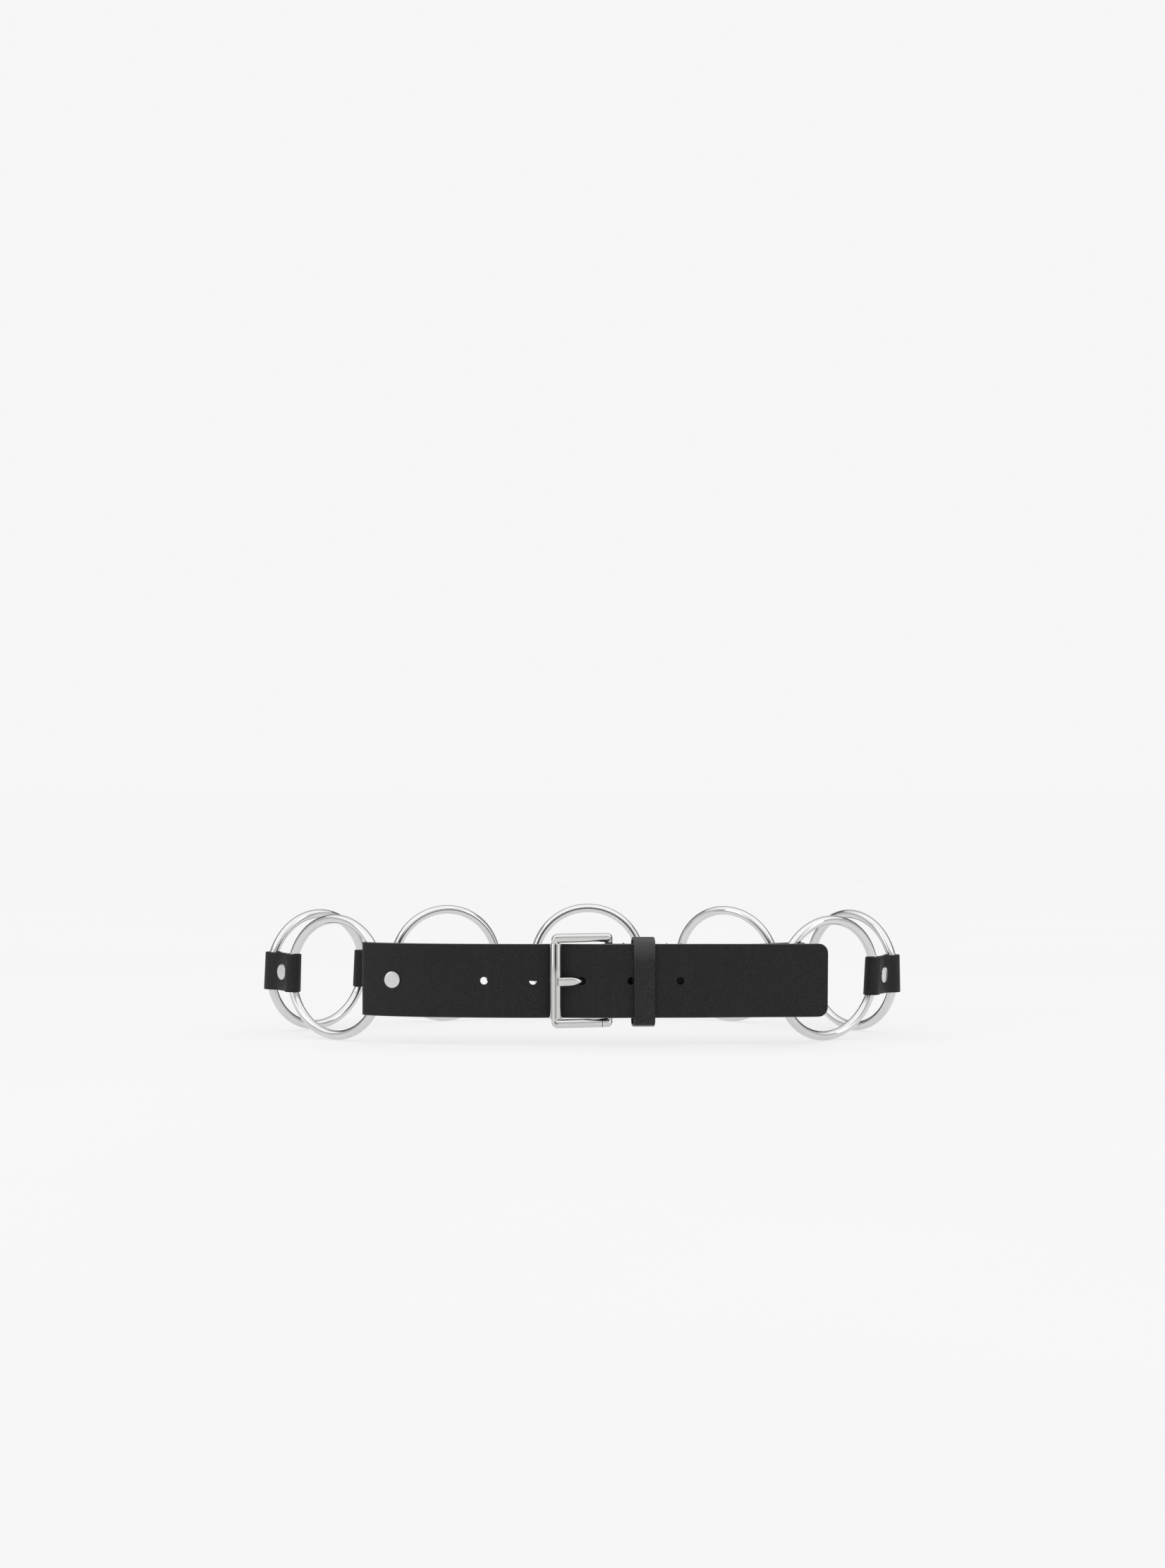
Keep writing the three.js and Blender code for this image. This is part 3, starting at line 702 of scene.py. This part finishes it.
def makeRivet(name, node, place, front, back, backRadius, backTurn, material):
    outer = copied(capModels[rivetCap["radius"]], name)
    placed(outer, Matrix.Translation((0, front * millimetre, 0)) @ Matrix.Rotation(math.pi / 2, 4, "X"))
    inner = copied(capModels[backRadius], name + "Back")
    placed(inner, Matrix.Translation((0, back * millimetre, 0)) @ Matrix.Rotation(backTurn, 4, "Z")
           @ Matrix.Rotation(-math.pi / 2, 4, "X"))
    shank = addRound(name + "Shank", rivetCap["shankRadius"], back - front, (0, (front + back) / 2, 0),
                     (math.pi / 2, 0, 0), rivetCap["shankSides"])
    rivet = joined(name, [outer, inner, shank])
    placed(rivet, place)
    return finished(rivet, [node], material)


def uprightPlace(point, turn, tilt, height):
    x, y = shifted(point)
    return (Matrix.Translation(Vector((x, y, height)) * millimetre) @ Matrix.Rotation(turn, 4, "Z")
            @ Matrix.Rotation(tilt, 4, "X"))


def makeStrapRivet(name, node, fold, place, tilt, material):
    at = fold["rivetAt"]
    reach = rivetCap["backRadius"]
    before, after = (place(at + step, foldedDepth(fold, at + step)) for step in (-reach, reach))
    turn = turnAt(place, at)
    slope = math.atan(math.tan(math.atan2(after.y - before.y, after.x - before.x) - turn))
    seat = foldedDepth(fold, at) + (strap["thick"] / 2 + 1.5 * clearance) / math.cos(slope)
    matrix = uprightPlace(place(at, 0), turn, tilt, strap["middle"])
    return makeRivet(name, node, matrix, -strap["thick"] / 2 - clearance / 2, seat, reach, slope, material)


def makeTabRivet(index, material):
    join = tabJoins[index]
    start, finish, along = tabFacts(join)
    spot = start.lerp(finish, 0.5) + along.normalized() * join["rivetShift"]
    across = Vector((-along.y, along.x)).normalized()
    reach = rivetCap["radius"]
    rise = stiffShift(join, 0.5, join["middle"] + reach) - stiffShift(join, 0.5, join["middle"] - reach)
    tilt = -math.atan2(rise.dot(across), 2 * reach)
    spot += stiffShift(join, 0.5, join["middle"])
    turn = math.atan2(along.y, along.x) + math.radians(join["rivetTurn"])
    place = uprightPlace(spot, turn, tilt, join["middle"])
    face = tab["thick"] + tab["underCap"]
    return makeRivet(f"tabRivet{index + 1}", f"rivet_tab_{index + 1}", place, -face, face, reach, 0, material)


# The buckle: frame, roller and prong
buckle = {"middle": 33.95, "height": 48.8, "arm": 4.6, "armThick": 4.4, "pastRoller": 2.2, "pastHinge": 2.3,
          "rollerCorner": 3.4, "hingeCorner": 2.7, "innerCorner": 0.7, "cornerSteps": 9, "aroundBar": 24,
          "squareness": 0.8}
seam = {"at": 10.3, "halfWidth": 0.16, "below": 20, "tone": (0.04, 0.04, 0.04)}
prong = {"width": 2.7, "eyeRadius": 3.4, "eyeSides": 40, "eyeRound": 0.4, "bore": 0.15, "boreDepth": 10,
         "around": 16, "squareness": 0.6}
prongStops = [            # along the strap, behind its middle plane, width, thickness
    (12.5, 4.2, 3.4, 1.5), (10.9, 3.4, 3.4, 1.5), (8.2, 2.4, 3.4, 1.5), (3.2, 2.3, 3.2, 1.5),
    (1.3, 1.6, 2.2, 1.4), (0.2, -0.4, 1.2, 1.3), (-1.0, -2.1, 1.7, 1.5), (-2.6, -2.9, 3.0, 1.8),
    (-4.4, -3.8, 4.4, 1.9), (-8, -5.7, 4.6, 1.9), (-10.4, -7.3, 4.6, 1.9), (-12.1, -8.3, 4.6, 1.9),
    (-12.5, -8.5, 4.5, 1.7),
]
prongRoot = {"from": -1.9, "to": 2.5, "depth": (-0.2, 2.6), "height": 4.1, "corner": 1.7}


def buckleEnds():
    return frontPoint(rollerBar["at"], rollerDepth), backPoint(hingeBar["at"], hingeDepth - secondLayer)


def squared(value, power):
    return math.copysign(abs(value) ** power, value)


def roundedSquare(left, right, half, leftRadius, rightRadius):
    # Points of a rounded rectangle that starts at its right side and runs over the top
    points = []
    for side, up, start in ((1, 1, 0), (-1, 1, 90), (-1, -1, 180), (1, -1, 270)):
        radius = rightRadius if side > 0 else leftRadius
        edge = right if side > 0 else left
        for k in range(buckle["cornerSteps"]):
            angle = math.radians(start + 90 * k / (buckle["cornerSteps"] - 1))
            points.append(Vector((edge - side * radius + radius * math.cos(angle),
                                  up * (half - radius) + radius * math.sin(angle))))
    return points


def makeBuckleFrame(material):
    front, hinge = buckleEnds()
    span = (hinge - front).length
    half = buckle["height"] / 2
    outer = roundedSquare(-span / 2 - buckle["pastRoller"], span / 2 + buckle["pastHinge"], half,
                          buckle["rollerCorner"], buckle["hingeCorner"])
    inner = roundedSquare(-span / 2 + rollerBar["radius"], span / 2 - hingeBar["radius"],
                          half - buckle["arm"], buckle["innerCorner"], buckle["innerCorner"])
    clearSelection()
    bpy.ops.mesh.primitive_torus_add(major_segments=len(outer), minor_segments=buckle["aroundBar"],
                                     major_radius=0.02, minor_radius=0.002)
    piece = bpy.context.object
    piece.name = "buckleFrame"
    for i, vertex in enumerate(piece.data.vertices):
        station, around = divmod(i, buckle["aroundBar"])
        outside, inside = outer[station], inner[station]
        angle = 2 * math.pi * around / buckle["aroundBar"]
        across = squared(math.cos(angle), buckle["squareness"])
        deep = squared(math.sin(angle), buckle["squareness"])
        # The two bars are slimmer than the arms
        bar = rollerBar["radius"] if outside.x < 0 else hingeBar["radius"]
        share = smooth((abs(outside.y) - half + buckle["hingeCorner"]) / buckle["hingeCorner"])
        thick = bar + (buckle["armThick"] / 2 - bar) * share
        point = (outside + inside) / 2 + (outside - inside) / 2 * across
        vertex.co = Vector((point.x, thick * deep, point.y)) * millimetre
    tidyNormals(piece)
    middle = (front + hinge) / 2
    turn = math.atan2(hinge.y - front.y, hinge.x - front.x)
    placed(piece, uprightPlace(middle, turn, 0, buckle["middle"]))
    return finished(piece, ["buckle_frame"], material, 60)


def makeRoller(material):
    front, _ = buckleEnds()
    x, y = shifted(front)
    piece = addRound("roller", roller["radius"], roller["length"], (x, y, buckle["middle"]), sides=64)
    openAlong(piece, 2)
    applyModifier(piece, "SOLIDIFY", thickness=roller["wall"] * millimetre, offset=-1)
    roundEdges(piece, roller["edgeRound"], 3, 50)
    return finished(piece, ["buckle_roller"], material, 50)


def makeProng(material, shadedMaterial):
    clearSelection()
    around = prong["around"]
    bpy.ops.mesh.primitive_circle_add(vertices=around, radius=millimetre, fill_type="NGON")
    piece = bpy.context.object
    piece.name = "prong"
    points = [frontPoint(at, depth) for at, depth, _, _ in prongStops]
    sections = []
    count = len(points)
    for i, (_, _, width, thick) in enumerate(prongStops):
        along = (points[min(i + 1, count - 1)] - points[max(i - 1, 0)]).normalized()
        x, y = shifted(points[i])
        ring = []
        for k in range(around):
            angle = 2 * math.pi * k / around
            across = squared(math.cos(angle), prong["squareness"]) * thick / 2
            z = strap["middle"] + squared(math.sin(angle), prong["squareness"]) * width / 2
            ring.append(Vector((x - along.y * across, y + along.x * across, z)) * millimetre)
        sections.append(ring)
    for vertex, co in zip(piece.data.vertices, sections[0]):
        vertex.co = co
    for ring in sections[1:]:
        last = len(piece.data.vertices) - around
        pick(piece, "VERT", "vertices", lambda vertex: vertex.index >= last)
        bpy.ops.mesh.extrude_region_move(TRANSFORM_OT_translate={"value": (0, 0, millimetre)})
        endEdit()
        for vertex, co in zip([v for v in piece.data.vertices if v.select], ring):
            vertex.co = co
    tidyNormals(piece)
    applyModifier(piece, "SUBSURF", levels=2, render_levels=2)
    _, hinge = buckleEnds()
    x, y = shifted(hinge)
    centre, sides = (x, y, strap["middle"]), prong["eyeSides"]
    eye = addRound("prongEye", prong["eyeRadius"], prong["width"], centre, sides=sides)
    cutOut(eye, [addRound("bore", hingeBar["radius"] + prong["bore"], prong["boreDepth"], centre, sides=sides)])
    roundEdges(eye, prong["eyeRound"], 3, 50)
    front = frontPoint((prongRoot["from"] + prongRoot["to"]) / 2, sum(prongRoot["depth"]) / 2)
    outer, inner = prongRoot["depth"]
    size = (prongRoot["to"] - prongRoot["from"], inner - outer, prongRoot["height"])
    root = addBlock("prongRoot", size, (0, 0, 0))
    roundAlong(root, 1, prongRoot["corner"], 6)
    placed(root, uprightPlace(front, turnAt(frontPoint, 0), 0, strap["middle"]))
    # painted shade: the root is finished near black to stand for the shade inside the hole
    for part, finish in ((piece, material), (eye, material), (root, shadedMaterial)):
        part.data.materials.append(finish)
    piece = joined("prong", [piece, eye, root])
    return finished(piece, ["buckle_prong"], None, 50)


# Finishes: one grain group shared by all leather
def newMaterial(name):
    material = bpy.data.materials.new(name)
    material.use_nodes = True
    tree = material.node_tree
    place = tree.nodes.new("ShaderNodeTexCoord").outputs["Object"]
    return material, tree, tree.nodes["Principled BSDF"], place


def newGroup(name, inputs, outputs):
    group = bpy.data.node_groups.new(name, "ShaderNodeTree")
    for label, kind, value in inputs:
        socket = group.interface.new_socket(name=label, in_out="INPUT", socket_type=kind)
        if value is not None:
            socket.default_value = value
    for label, kind in outputs:
        group.interface.new_socket(name=label, in_out="OUTPUT", socket_type=kind)
    return group, group.nodes.new("NodeGroupInput"), group.nodes.new("NodeGroupOutput")


def newNode(tree, kind, place=None, group=None, **values):
    node = tree.nodes.new(kind)
    if group is not None:
        node.node_tree = group
    for label, value in values.items():
        node.inputs[label].default_value = value
    if place is not None:
        tree.links.new(place, node.inputs["Vector"])
    return node


def mathNode(tree, operation, *values):
    node = tree.nodes.new("ShaderNodeMath")
    node.operation = operation
    for socket, value in zip(node.inputs, values):
        if isinstance(value, (int, float)):
            socket.default_value = value
        else:
            tree.links.new(value, socket)
    return node.outputs[0]


def axesOf(tree, vector):
    return newNode(tree, "ShaderNodeSeparateXYZ", vector).outputs


def addRelief(tree, shader, height, strength, distance):
    relief = newNode(tree, "ShaderNodeBump", Strength=strength, Distance=distance)
    tree.links.new(height, relief.inputs["Height"])
    tree.links.new(relief.outputs["Normal"], shader.inputs["Normal"])


def grainGroup():
    number = "NodeSocketFloat"
    group, inside, outside = newGroup(
        "leatherGrain", [("Vector", "NodeSocketVector", None), ("Pebble", number, 1500.0), ("Crease", number, 160.0)],
        [(label, number) for label in ("Height", "Cloud", "Pits", "Specks")])
    links, place = group.links, inside.outputs["Vector"]
    cells = newNode(group, "ShaderNodeTexVoronoi", place)
    cells.feature = "SMOOTH_F1"
    cells.inputs["Smoothness"].default_value = 0.35
    fine = newNode(group, "ShaderNodeTexNoise", place, Detail=3)
    creases = newNode(group, "ShaderNodeTexNoise", place, Detail=5, Distortion=0.6)
    links.new(inside.outputs["Pebble"], cells.inputs["Scale"])
    links.new(mathNode(group, "MULTIPLY", inside.outputs["Pebble"], 1.7), fine.inputs["Scale"])
    links.new(inside.outputs["Crease"], creases.inputs["Scale"])
    pebble = mathNode(group, "SUBTRACT", 1.0, cells.outputs["Distance"])
    height = mathNode(group, "ADD", mathNode(group, "MULTIPLY", pebble, 0.6),
                      mathNode(group, "MULTIPLY", fine.outputs["Fac"], 0.4))
    height = mathNode(group, "ADD", height, mathNode(group, "MULTIPLY", creases.outputs["Fac"], 0.8))
    links.new(height, outside.inputs["Height"])
    links.new(creases.outputs["Fac"], outside.inputs["Cloud"])
    links.new(cells.outputs["Distance"], outside.inputs["Pits"])
    links.new(fine.outputs["Fac"], outside.inputs["Specks"])
    return group


def ramp(tree, source, stops):
    node = tree.nodes.new("ShaderNodeValToRGB")
    tree.links.new(source, node.inputs["Fac"])
    elements = node.color_ramp.elements
    for _ in stops[2:]:
        elements.new(1.0)
    for element, (position, shade) in zip(elements, stops):
        element.position = position
        element.color = (*shade, 1) if isinstance(shade, tuple) else (shade, shade, shade, 1)
    return node.outputs["Color"]


def mixed(tree, share, first, second):
    node = tree.nodes.new("ShaderNodeMix")
    node.data_type = "RGBA"
    tree.links.new(share, node.inputs[0])
    for socket, value in ((node.inputs[6], first), (node.inputs[7], second)):
        if isinstance(value, tuple):
            socket.default_value = (*value, 1)
        else:
            tree.links.new(value, socket)
    return node.outputs[2]


def edgeGroup():
    # White past a given distance above or below the middle, where a level strap has its cut edges
    group, inside, outside = newGroup(
        "cutEdge", [("Vector", "NodeSocketVector", None), ("Middle", "NodeSocketFloat", 0.0338),
                    ("From", "NodeSocketFloat", 1.0), ("Slope", "NodeSocketFloat", 6000.0)],
        [("Mask", "NodeSocketFloat")])
    _, _, z = axesOf(group, inside.outputs["Vector"])
    away = mathNode(group, "SUBTRACT", z, inside.outputs["Middle"])
    away = mathNode(group, "SUBTRACT", mathNode(group, "ABSOLUTE", away), inside.outputs["From"])
    away = mathNode(group, "MULTIPLY", away, inside.outputs["Slope"])
    away = mathNode(group, "MINIMUM", mathNode(group, "MAXIMUM", away, 0.0), 1.0)
    group.links.new(away, outside.inputs["Mask"])
    return group


def edgeMask(tree, place, middle, start, **values):
    mask = newNode(tree, "ShaderNodeGroup", place, cutEdge, Middle=middle * millimetre,
                   From=start * millimetre, **values)
    return mask.outputs["Mask"]


def leatherFinish(name, look):
    material, tree, shader, place = newMaterial(name)
    grain = newNode(tree, "ShaderNodeGroup", place, leatherGrain, Pebble=look["pebble"]).outputs
    tint = ramp(tree, grain["Cloud"], [(0.3, look["darkest"]), (0.75, look["lightest"])])
    speck = ramp(tree, grain["Specks"], [(0.52, 0.0), (0.62, 1.0)])
    tone = mixed(tree, speck, tint, look["speck"])
    if "crownFrom" in look:       # painted highlight: the leather is coloured lighter where it turns over at the top, where it catches the light
        crown = edgeMask(tree, place, 0, look["crownFrom"], Slope=look["crownSlope"])
        tone = mixed(tree, crown, tone, look["crownHighlightTone"])
    gloss = ramp(tree, grain["Pits"], [(0.0, look["shine"]), (0.8, look["shine"] + 0.16)])
    # painted highlight: the cut edges are coloured lighter, as lit edges; they are also glossier
    edge = edgeMask(tree, place, strap["middle"], look["edgeFrom"])
    tree.links.new(mixed(tree, edge, tone, look["edgeHighlightTone"]), shader.inputs["Base Color"])
    tree.links.new(mixed(tree, edge, gloss, look["edgeGloss"]), shader.inputs["Roughness"])
    addRelief(tree, shader, grain["Height"], look["relief"], look["bumpDistance"])
    shader.inputs["Specular IOR Level"].default_value = look["specular"]
    return material


def threadFinish(name, tone):
    material, tree, shader, place = newMaterial(name)
    strands = newNode(tree, "ShaderNodeTexWave", place, Scale=900, Distortion=1.5).outputs["Fac"]
    shade = ramp(tree, strands, [(0.0, tone * 0.5), (1.0, tone)])
    tree.links.new(shade, shader.inputs["Base Color"])
    shader.inputs["Roughness"].default_value = 0.55
    shader.inputs["Specular IOR Level"].default_value = 0.4
    addRelief(tree, shader, strands, 0.5, 0.00008)
    return material


def metalFinish(name, tone, roughness, jointed=False, reflectionBands=()):
    material, tree, shader, place = newMaterial(name)
    haze = newNode(tree, "ShaderNodeTexNoise", place, Scale=90, Detail=4).outputs["Fac"]
    rough = ramp(tree, haze, [(0.35, roughness), (0.75, roughness + 0.05)])
    tree.links.new(rough, shader.inputs["Roughness"])
    colour = ramp(tree, haze, [(0.3, tone), (0.8, tuple(c * 0.92 for c in tone))])
    if jointed or reflectionBands:
        x, _, z = axesOf(tree, place)
    if jointed:                   # a fine joint line across the lower arm
        away = mathNode(tree, "SUBTRACT", x, (seam["at"] + beltShift[0]) * millimetre)
        near = mathNode(tree, "LESS_THAN", mathNode(tree, "ABSOLUTE", away), seam["halfWidth"] * millimetre)
        low = mathNode(tree, "LESS_THAN", z, seam["below"] * millimetre)
        colour = mixed(tree, mathNode(tree, "MULTIPLY", near, low), colour, seam["tone"])
    for at, halfWidth, bandTone in reflectionBands:        # painted reflections: soft dark bands drawn along the tube in place of its reflections
        away = mathNode(tree, "SUBTRACT", x, at * millimetre)
        share = mathNode(tree, "DIVIDE", mathNode(tree, "ABSOLUTE", away), halfWidth * millimetre)
        share = mathNode(tree, "MAXIMUM", mathNode(tree, "SUBTRACT", 1, share), 0)
        colour = mixed(tree, share, colour, (bandTone,) * 3)
    tree.links.new(colour, shader.inputs["Base Color"])
    shader.inputs["Metallic"].default_value = 1.0
    marks = newNode(tree, "ShaderNodeTexNoise", place, Scale=600, Detail=2).outputs["Fac"]
    addRelief(tree, shader, marks, 0.05, 0.00005)
    return material


# Camera, floor and lights
studio = {
    "lens": 3500 / 2224 * 36,
    "eye": (0.0, -1350.0, 135.6),
    "floorSize": 60,                # in metres
    "floorDrop": 0.2,
    "floorTone": 0.30,
    "floorSpread": 0.004,
    "floorGlow": 2.12,              # light the floor gives off itself, so that shadows stay faint
    "paper": 0.922,                 # what the camera sees past the floor
    "surround": [                   # place from the camera's side to the far side, brightness
        (0.0, 0.08), (0.015, 0.08), (0.022, 0.66), (0.42, 0.66), (0.6, 0.62), (0.68, 0.2), (0.93, 0.14),
        (0.97, 0.9),
    ],
    "sunPower": 1.35,
    "sunSpread": 110,
    "sunTilt": 8,
    "lamps": [                      # name, place, aim, size, power
        ("leftSoftbox", (-1100, -900, 500), (0, 0, 30), (350, 900), 1.6),
        ("rightSoftbox", (1200, -700, 450), (0, 0, 30), (250, 800), 1.0),
    ],
}


def makeCamera():
    camera = bpy.data.objects.new("camera", bpy.data.cameras.new("camera"))
    camera.data.sensor_fit = "VERTICAL"
    camera.data.sensor_height = 36
    camera.data.lens = studio["lens"]
    camera.data.clip_end = 100
    eye = studio["eye"]
    camera.location = Vector((eye[0] + beltShift[0], eye[1] + beltShift[1], eye[2])) * millimetre
    camera.rotation_euler = (math.pi / 2, 0, 0)
    bpy.context.scene.collection.objects.link(camera)
    bpy.context.scene.camera = camera


def makeFloor():
    clearSelection()
    bpy.ops.mesh.primitive_plane_add(size=studio["floorSize"], location=(0, 0, -studio["floorDrop"] * millimetre))
    floor = bpy.context.object
    floor.name = "floor"
    material, tree, shader, place = newMaterial("floorPaper")
    tone, spread = studio["floorTone"], studio["floorSpread"]
    fleck = newNode(tree, "ShaderNodeTexNoise", place, Scale=3).outputs["Fac"]
    shade = ramp(tree, fleck, [(0.0, tone - spread), (1.0, tone + spread)])
    tree.links.new(shade, shader.inputs["Base Color"])
    tree.links.new(shade, shader.inputs["Emission Color"])
    shader.inputs["Roughness"].default_value = 0.9
    shader.inputs["Specular IOR Level"].default_value = 0.0
    shader.inputs["Emission Strength"].default_value = studio["floorGlow"]
    floor.data.materials.append(material)


def makeSurround():
    world = bpy.data.worlds.new("studioSurround")
    world.use_nodes = True
    bpy.context.scene.world = world
    tree = world.node_tree
    nodes, links = tree.nodes, tree.links
    _, y, _ = axesOf(tree, nodes.new("ShaderNodeTexCoord").outputs["Generated"])
    half = mathNode(tree, "MULTIPLY_ADD", y, 0.5, 0.5)
    links.new(ramp(tree, half, studio["surround"]), nodes["Background"].inputs["Color"])
    paper = nodes.new("ShaderNodeBackground")
    paper.inputs["Color"].default_value = (studio["paper"],) * 3 + (1,)
    rays = nodes.new("ShaderNodeLightPath")
    choose = nodes.new("ShaderNodeMixShader")
    links.new(rays.outputs["Is Camera Ray"], choose.inputs[0])
    links.new(nodes["Background"].outputs[0], choose.inputs[1])
    links.new(paper.outputs[0], choose.inputs[2])
    links.new(choose.outputs[0], nodes["World Output"].inputs["Surface"])


def hangLamp(lamp, place, aim):
    lamp.location = Vector(place) * millimetre
    lamp.rotation_euler = (Vector(aim) - Vector(place)).to_track_quat("-Z", "Y").to_euler()
    bpy.context.scene.collection.objects.link(lamp)


def makeLights():
    sun = bpy.data.lights.new("overheadSoftbox", "SUN")
    sun.energy = studio["sunPower"]
    sun.angle = math.radians(studio["sunSpread"])
    lean = math.tan(math.radians(studio["sunTilt"]))
    hangLamp(bpy.data.objects.new("overheadSoftbox", sun), (0, -1000 * lean, 1000), (0, 0, 0))
    for name, place, aim, size, power in studio["lamps"]:
        light = bpy.data.lights.new(name, "AREA")
        light.shape = "RECTANGLE"
        light.size, light.size_y = (s * millimetre for s in size)
        light.energy = power
        hangLamp(bpy.data.objects.new(name, light), place, aim)


# Everything is made here, piece by piece
bpy.context.scene.view_settings.view_transform = "Standard"
makeCamera()
makeFloor()
makeSurround()
makeLights()
print("stage: studio ready")
leatherGrain = grainGroup()
cutEdge = edgeGroup()
strapLook = {
    "darkest": (0.0050, 0.0050, 0.0052), "lightest": (0.0090, 0.0090, 0.0093),
    "speck": (0.021, 0.021, 0.0215), "shine": 0.42, "specular": 0.26, "pebble": 1400,
    "relief": 0.5, "bumpDistance": 0.00012,
    # painted highlight: lighter colour along the cut edges
    "edgeFrom": 18.75, "edgeHighlightTone": (0.11, 0.11, 0.113), "edgeGloss": (0.3, 0.3, 0.3),
}
tabLook = {**strapLook, "lightest": (0.012, 0.012, 0.0124), "shine": 0.36, "edgeFrom": 100}
keeperLook = {
    **strapLook, "darkest": (0.0045, 0.0045, 0.0047), "lightest": (0.010, 0.010, 0.0103),
    "speck": (0.030, 0.030, 0.031), "shine": 0.34, "specular": 0.30, "pebble": 1250, "relief": 1.0,
    "bumpDistance": 0.0004, "edgeFrom": 22.6,
    # painted highlight: the keeper's top is coloured lighter
    "crownFrom": 44, "crownSlope": 90, "crownHighlightTone": (0.07, 0.07, 0.071),
}
strapLeather = leatherFinish("strapLeather", strapLook)
tabLeather = leatherFinish("tabLeather", tabLook)
keeperLeather = leatherFinish("keeperLeather", keeperLook)
thread = threadFinish("thread", 0.02)
ringMetal = metalFinish("ringMetal", (0.72, 0.72, 0.72), 0.06)
buckleMetal = metalFinish("buckleMetal", (0.66, 0.66, 0.65), 0.10, jointed=True)
rollerAt = shifted(buckleEnds()[0]).x
# painted reflections: the roller's dark bands are drawn into its colour
rollerMetal = metalFinish("rollerMetal", (0.66, 0.66, 0.65), 0.10,
                          reflectionBands=[(rollerAt + at, halfWidth, tone) for at, halfWidth, tone in roller["reflectionBands"]])
rivetMetal = metalFinish("rivetMetal", (0.68, 0.68, 0.68), 0.16)
# painted shade: near-black metal for the prong's root, in place of the shade in the hole
shadedMetal = metalFinish("shadedMetal", (0.012, 0.012, 0.012), 0.7)

ringModel = modelRing()
for i, weldAt in enumerate(ringWire["weldsAt"]):
    makeRing(ringModel, i, weldAt, ringMetal)
dropped(ringModel)
print("stage: rings")
makeTipStrap(strapLeather)
makeBuckleStrap(strapLeather, thread)
makeKeeper(keeperLeather)
print("stage: straps and keeper")
capModels = {radius: capShape("capModel", radius, rivetCap["thick"])
             for radius in (rivetCap["radius"], rivetCap["backRadius"])}
for i in range(len(tabJoins)):
    makeTab(i, tabLeather)
    makeTabRivet(i, rivetMetal)
makeStrapRivet("tipRivet", "rivet_tip_strap", tipFold, frontPoint, 0, rivetMetal)
up = ringTurn(lastRing) @ Vector((0, 0, 1))
tilt = math.atan2(-up.y, up.z) * leanShare(backPoint(ringFold["rivetAt"], 0).x)
makeStrapRivet("buckleStrapRivet", "rivet_buckle_strap", ringFold, backPoint, tilt, rivetMetal)
for model in capModels.values():
    dropped(model)
print("stage: tabs and rivets")
makeBuckleFrame(buckleMetal)
makeRoller(rollerMetal)
makeProng(buckleMetal, shadedMetal)
print("stage: buckle")
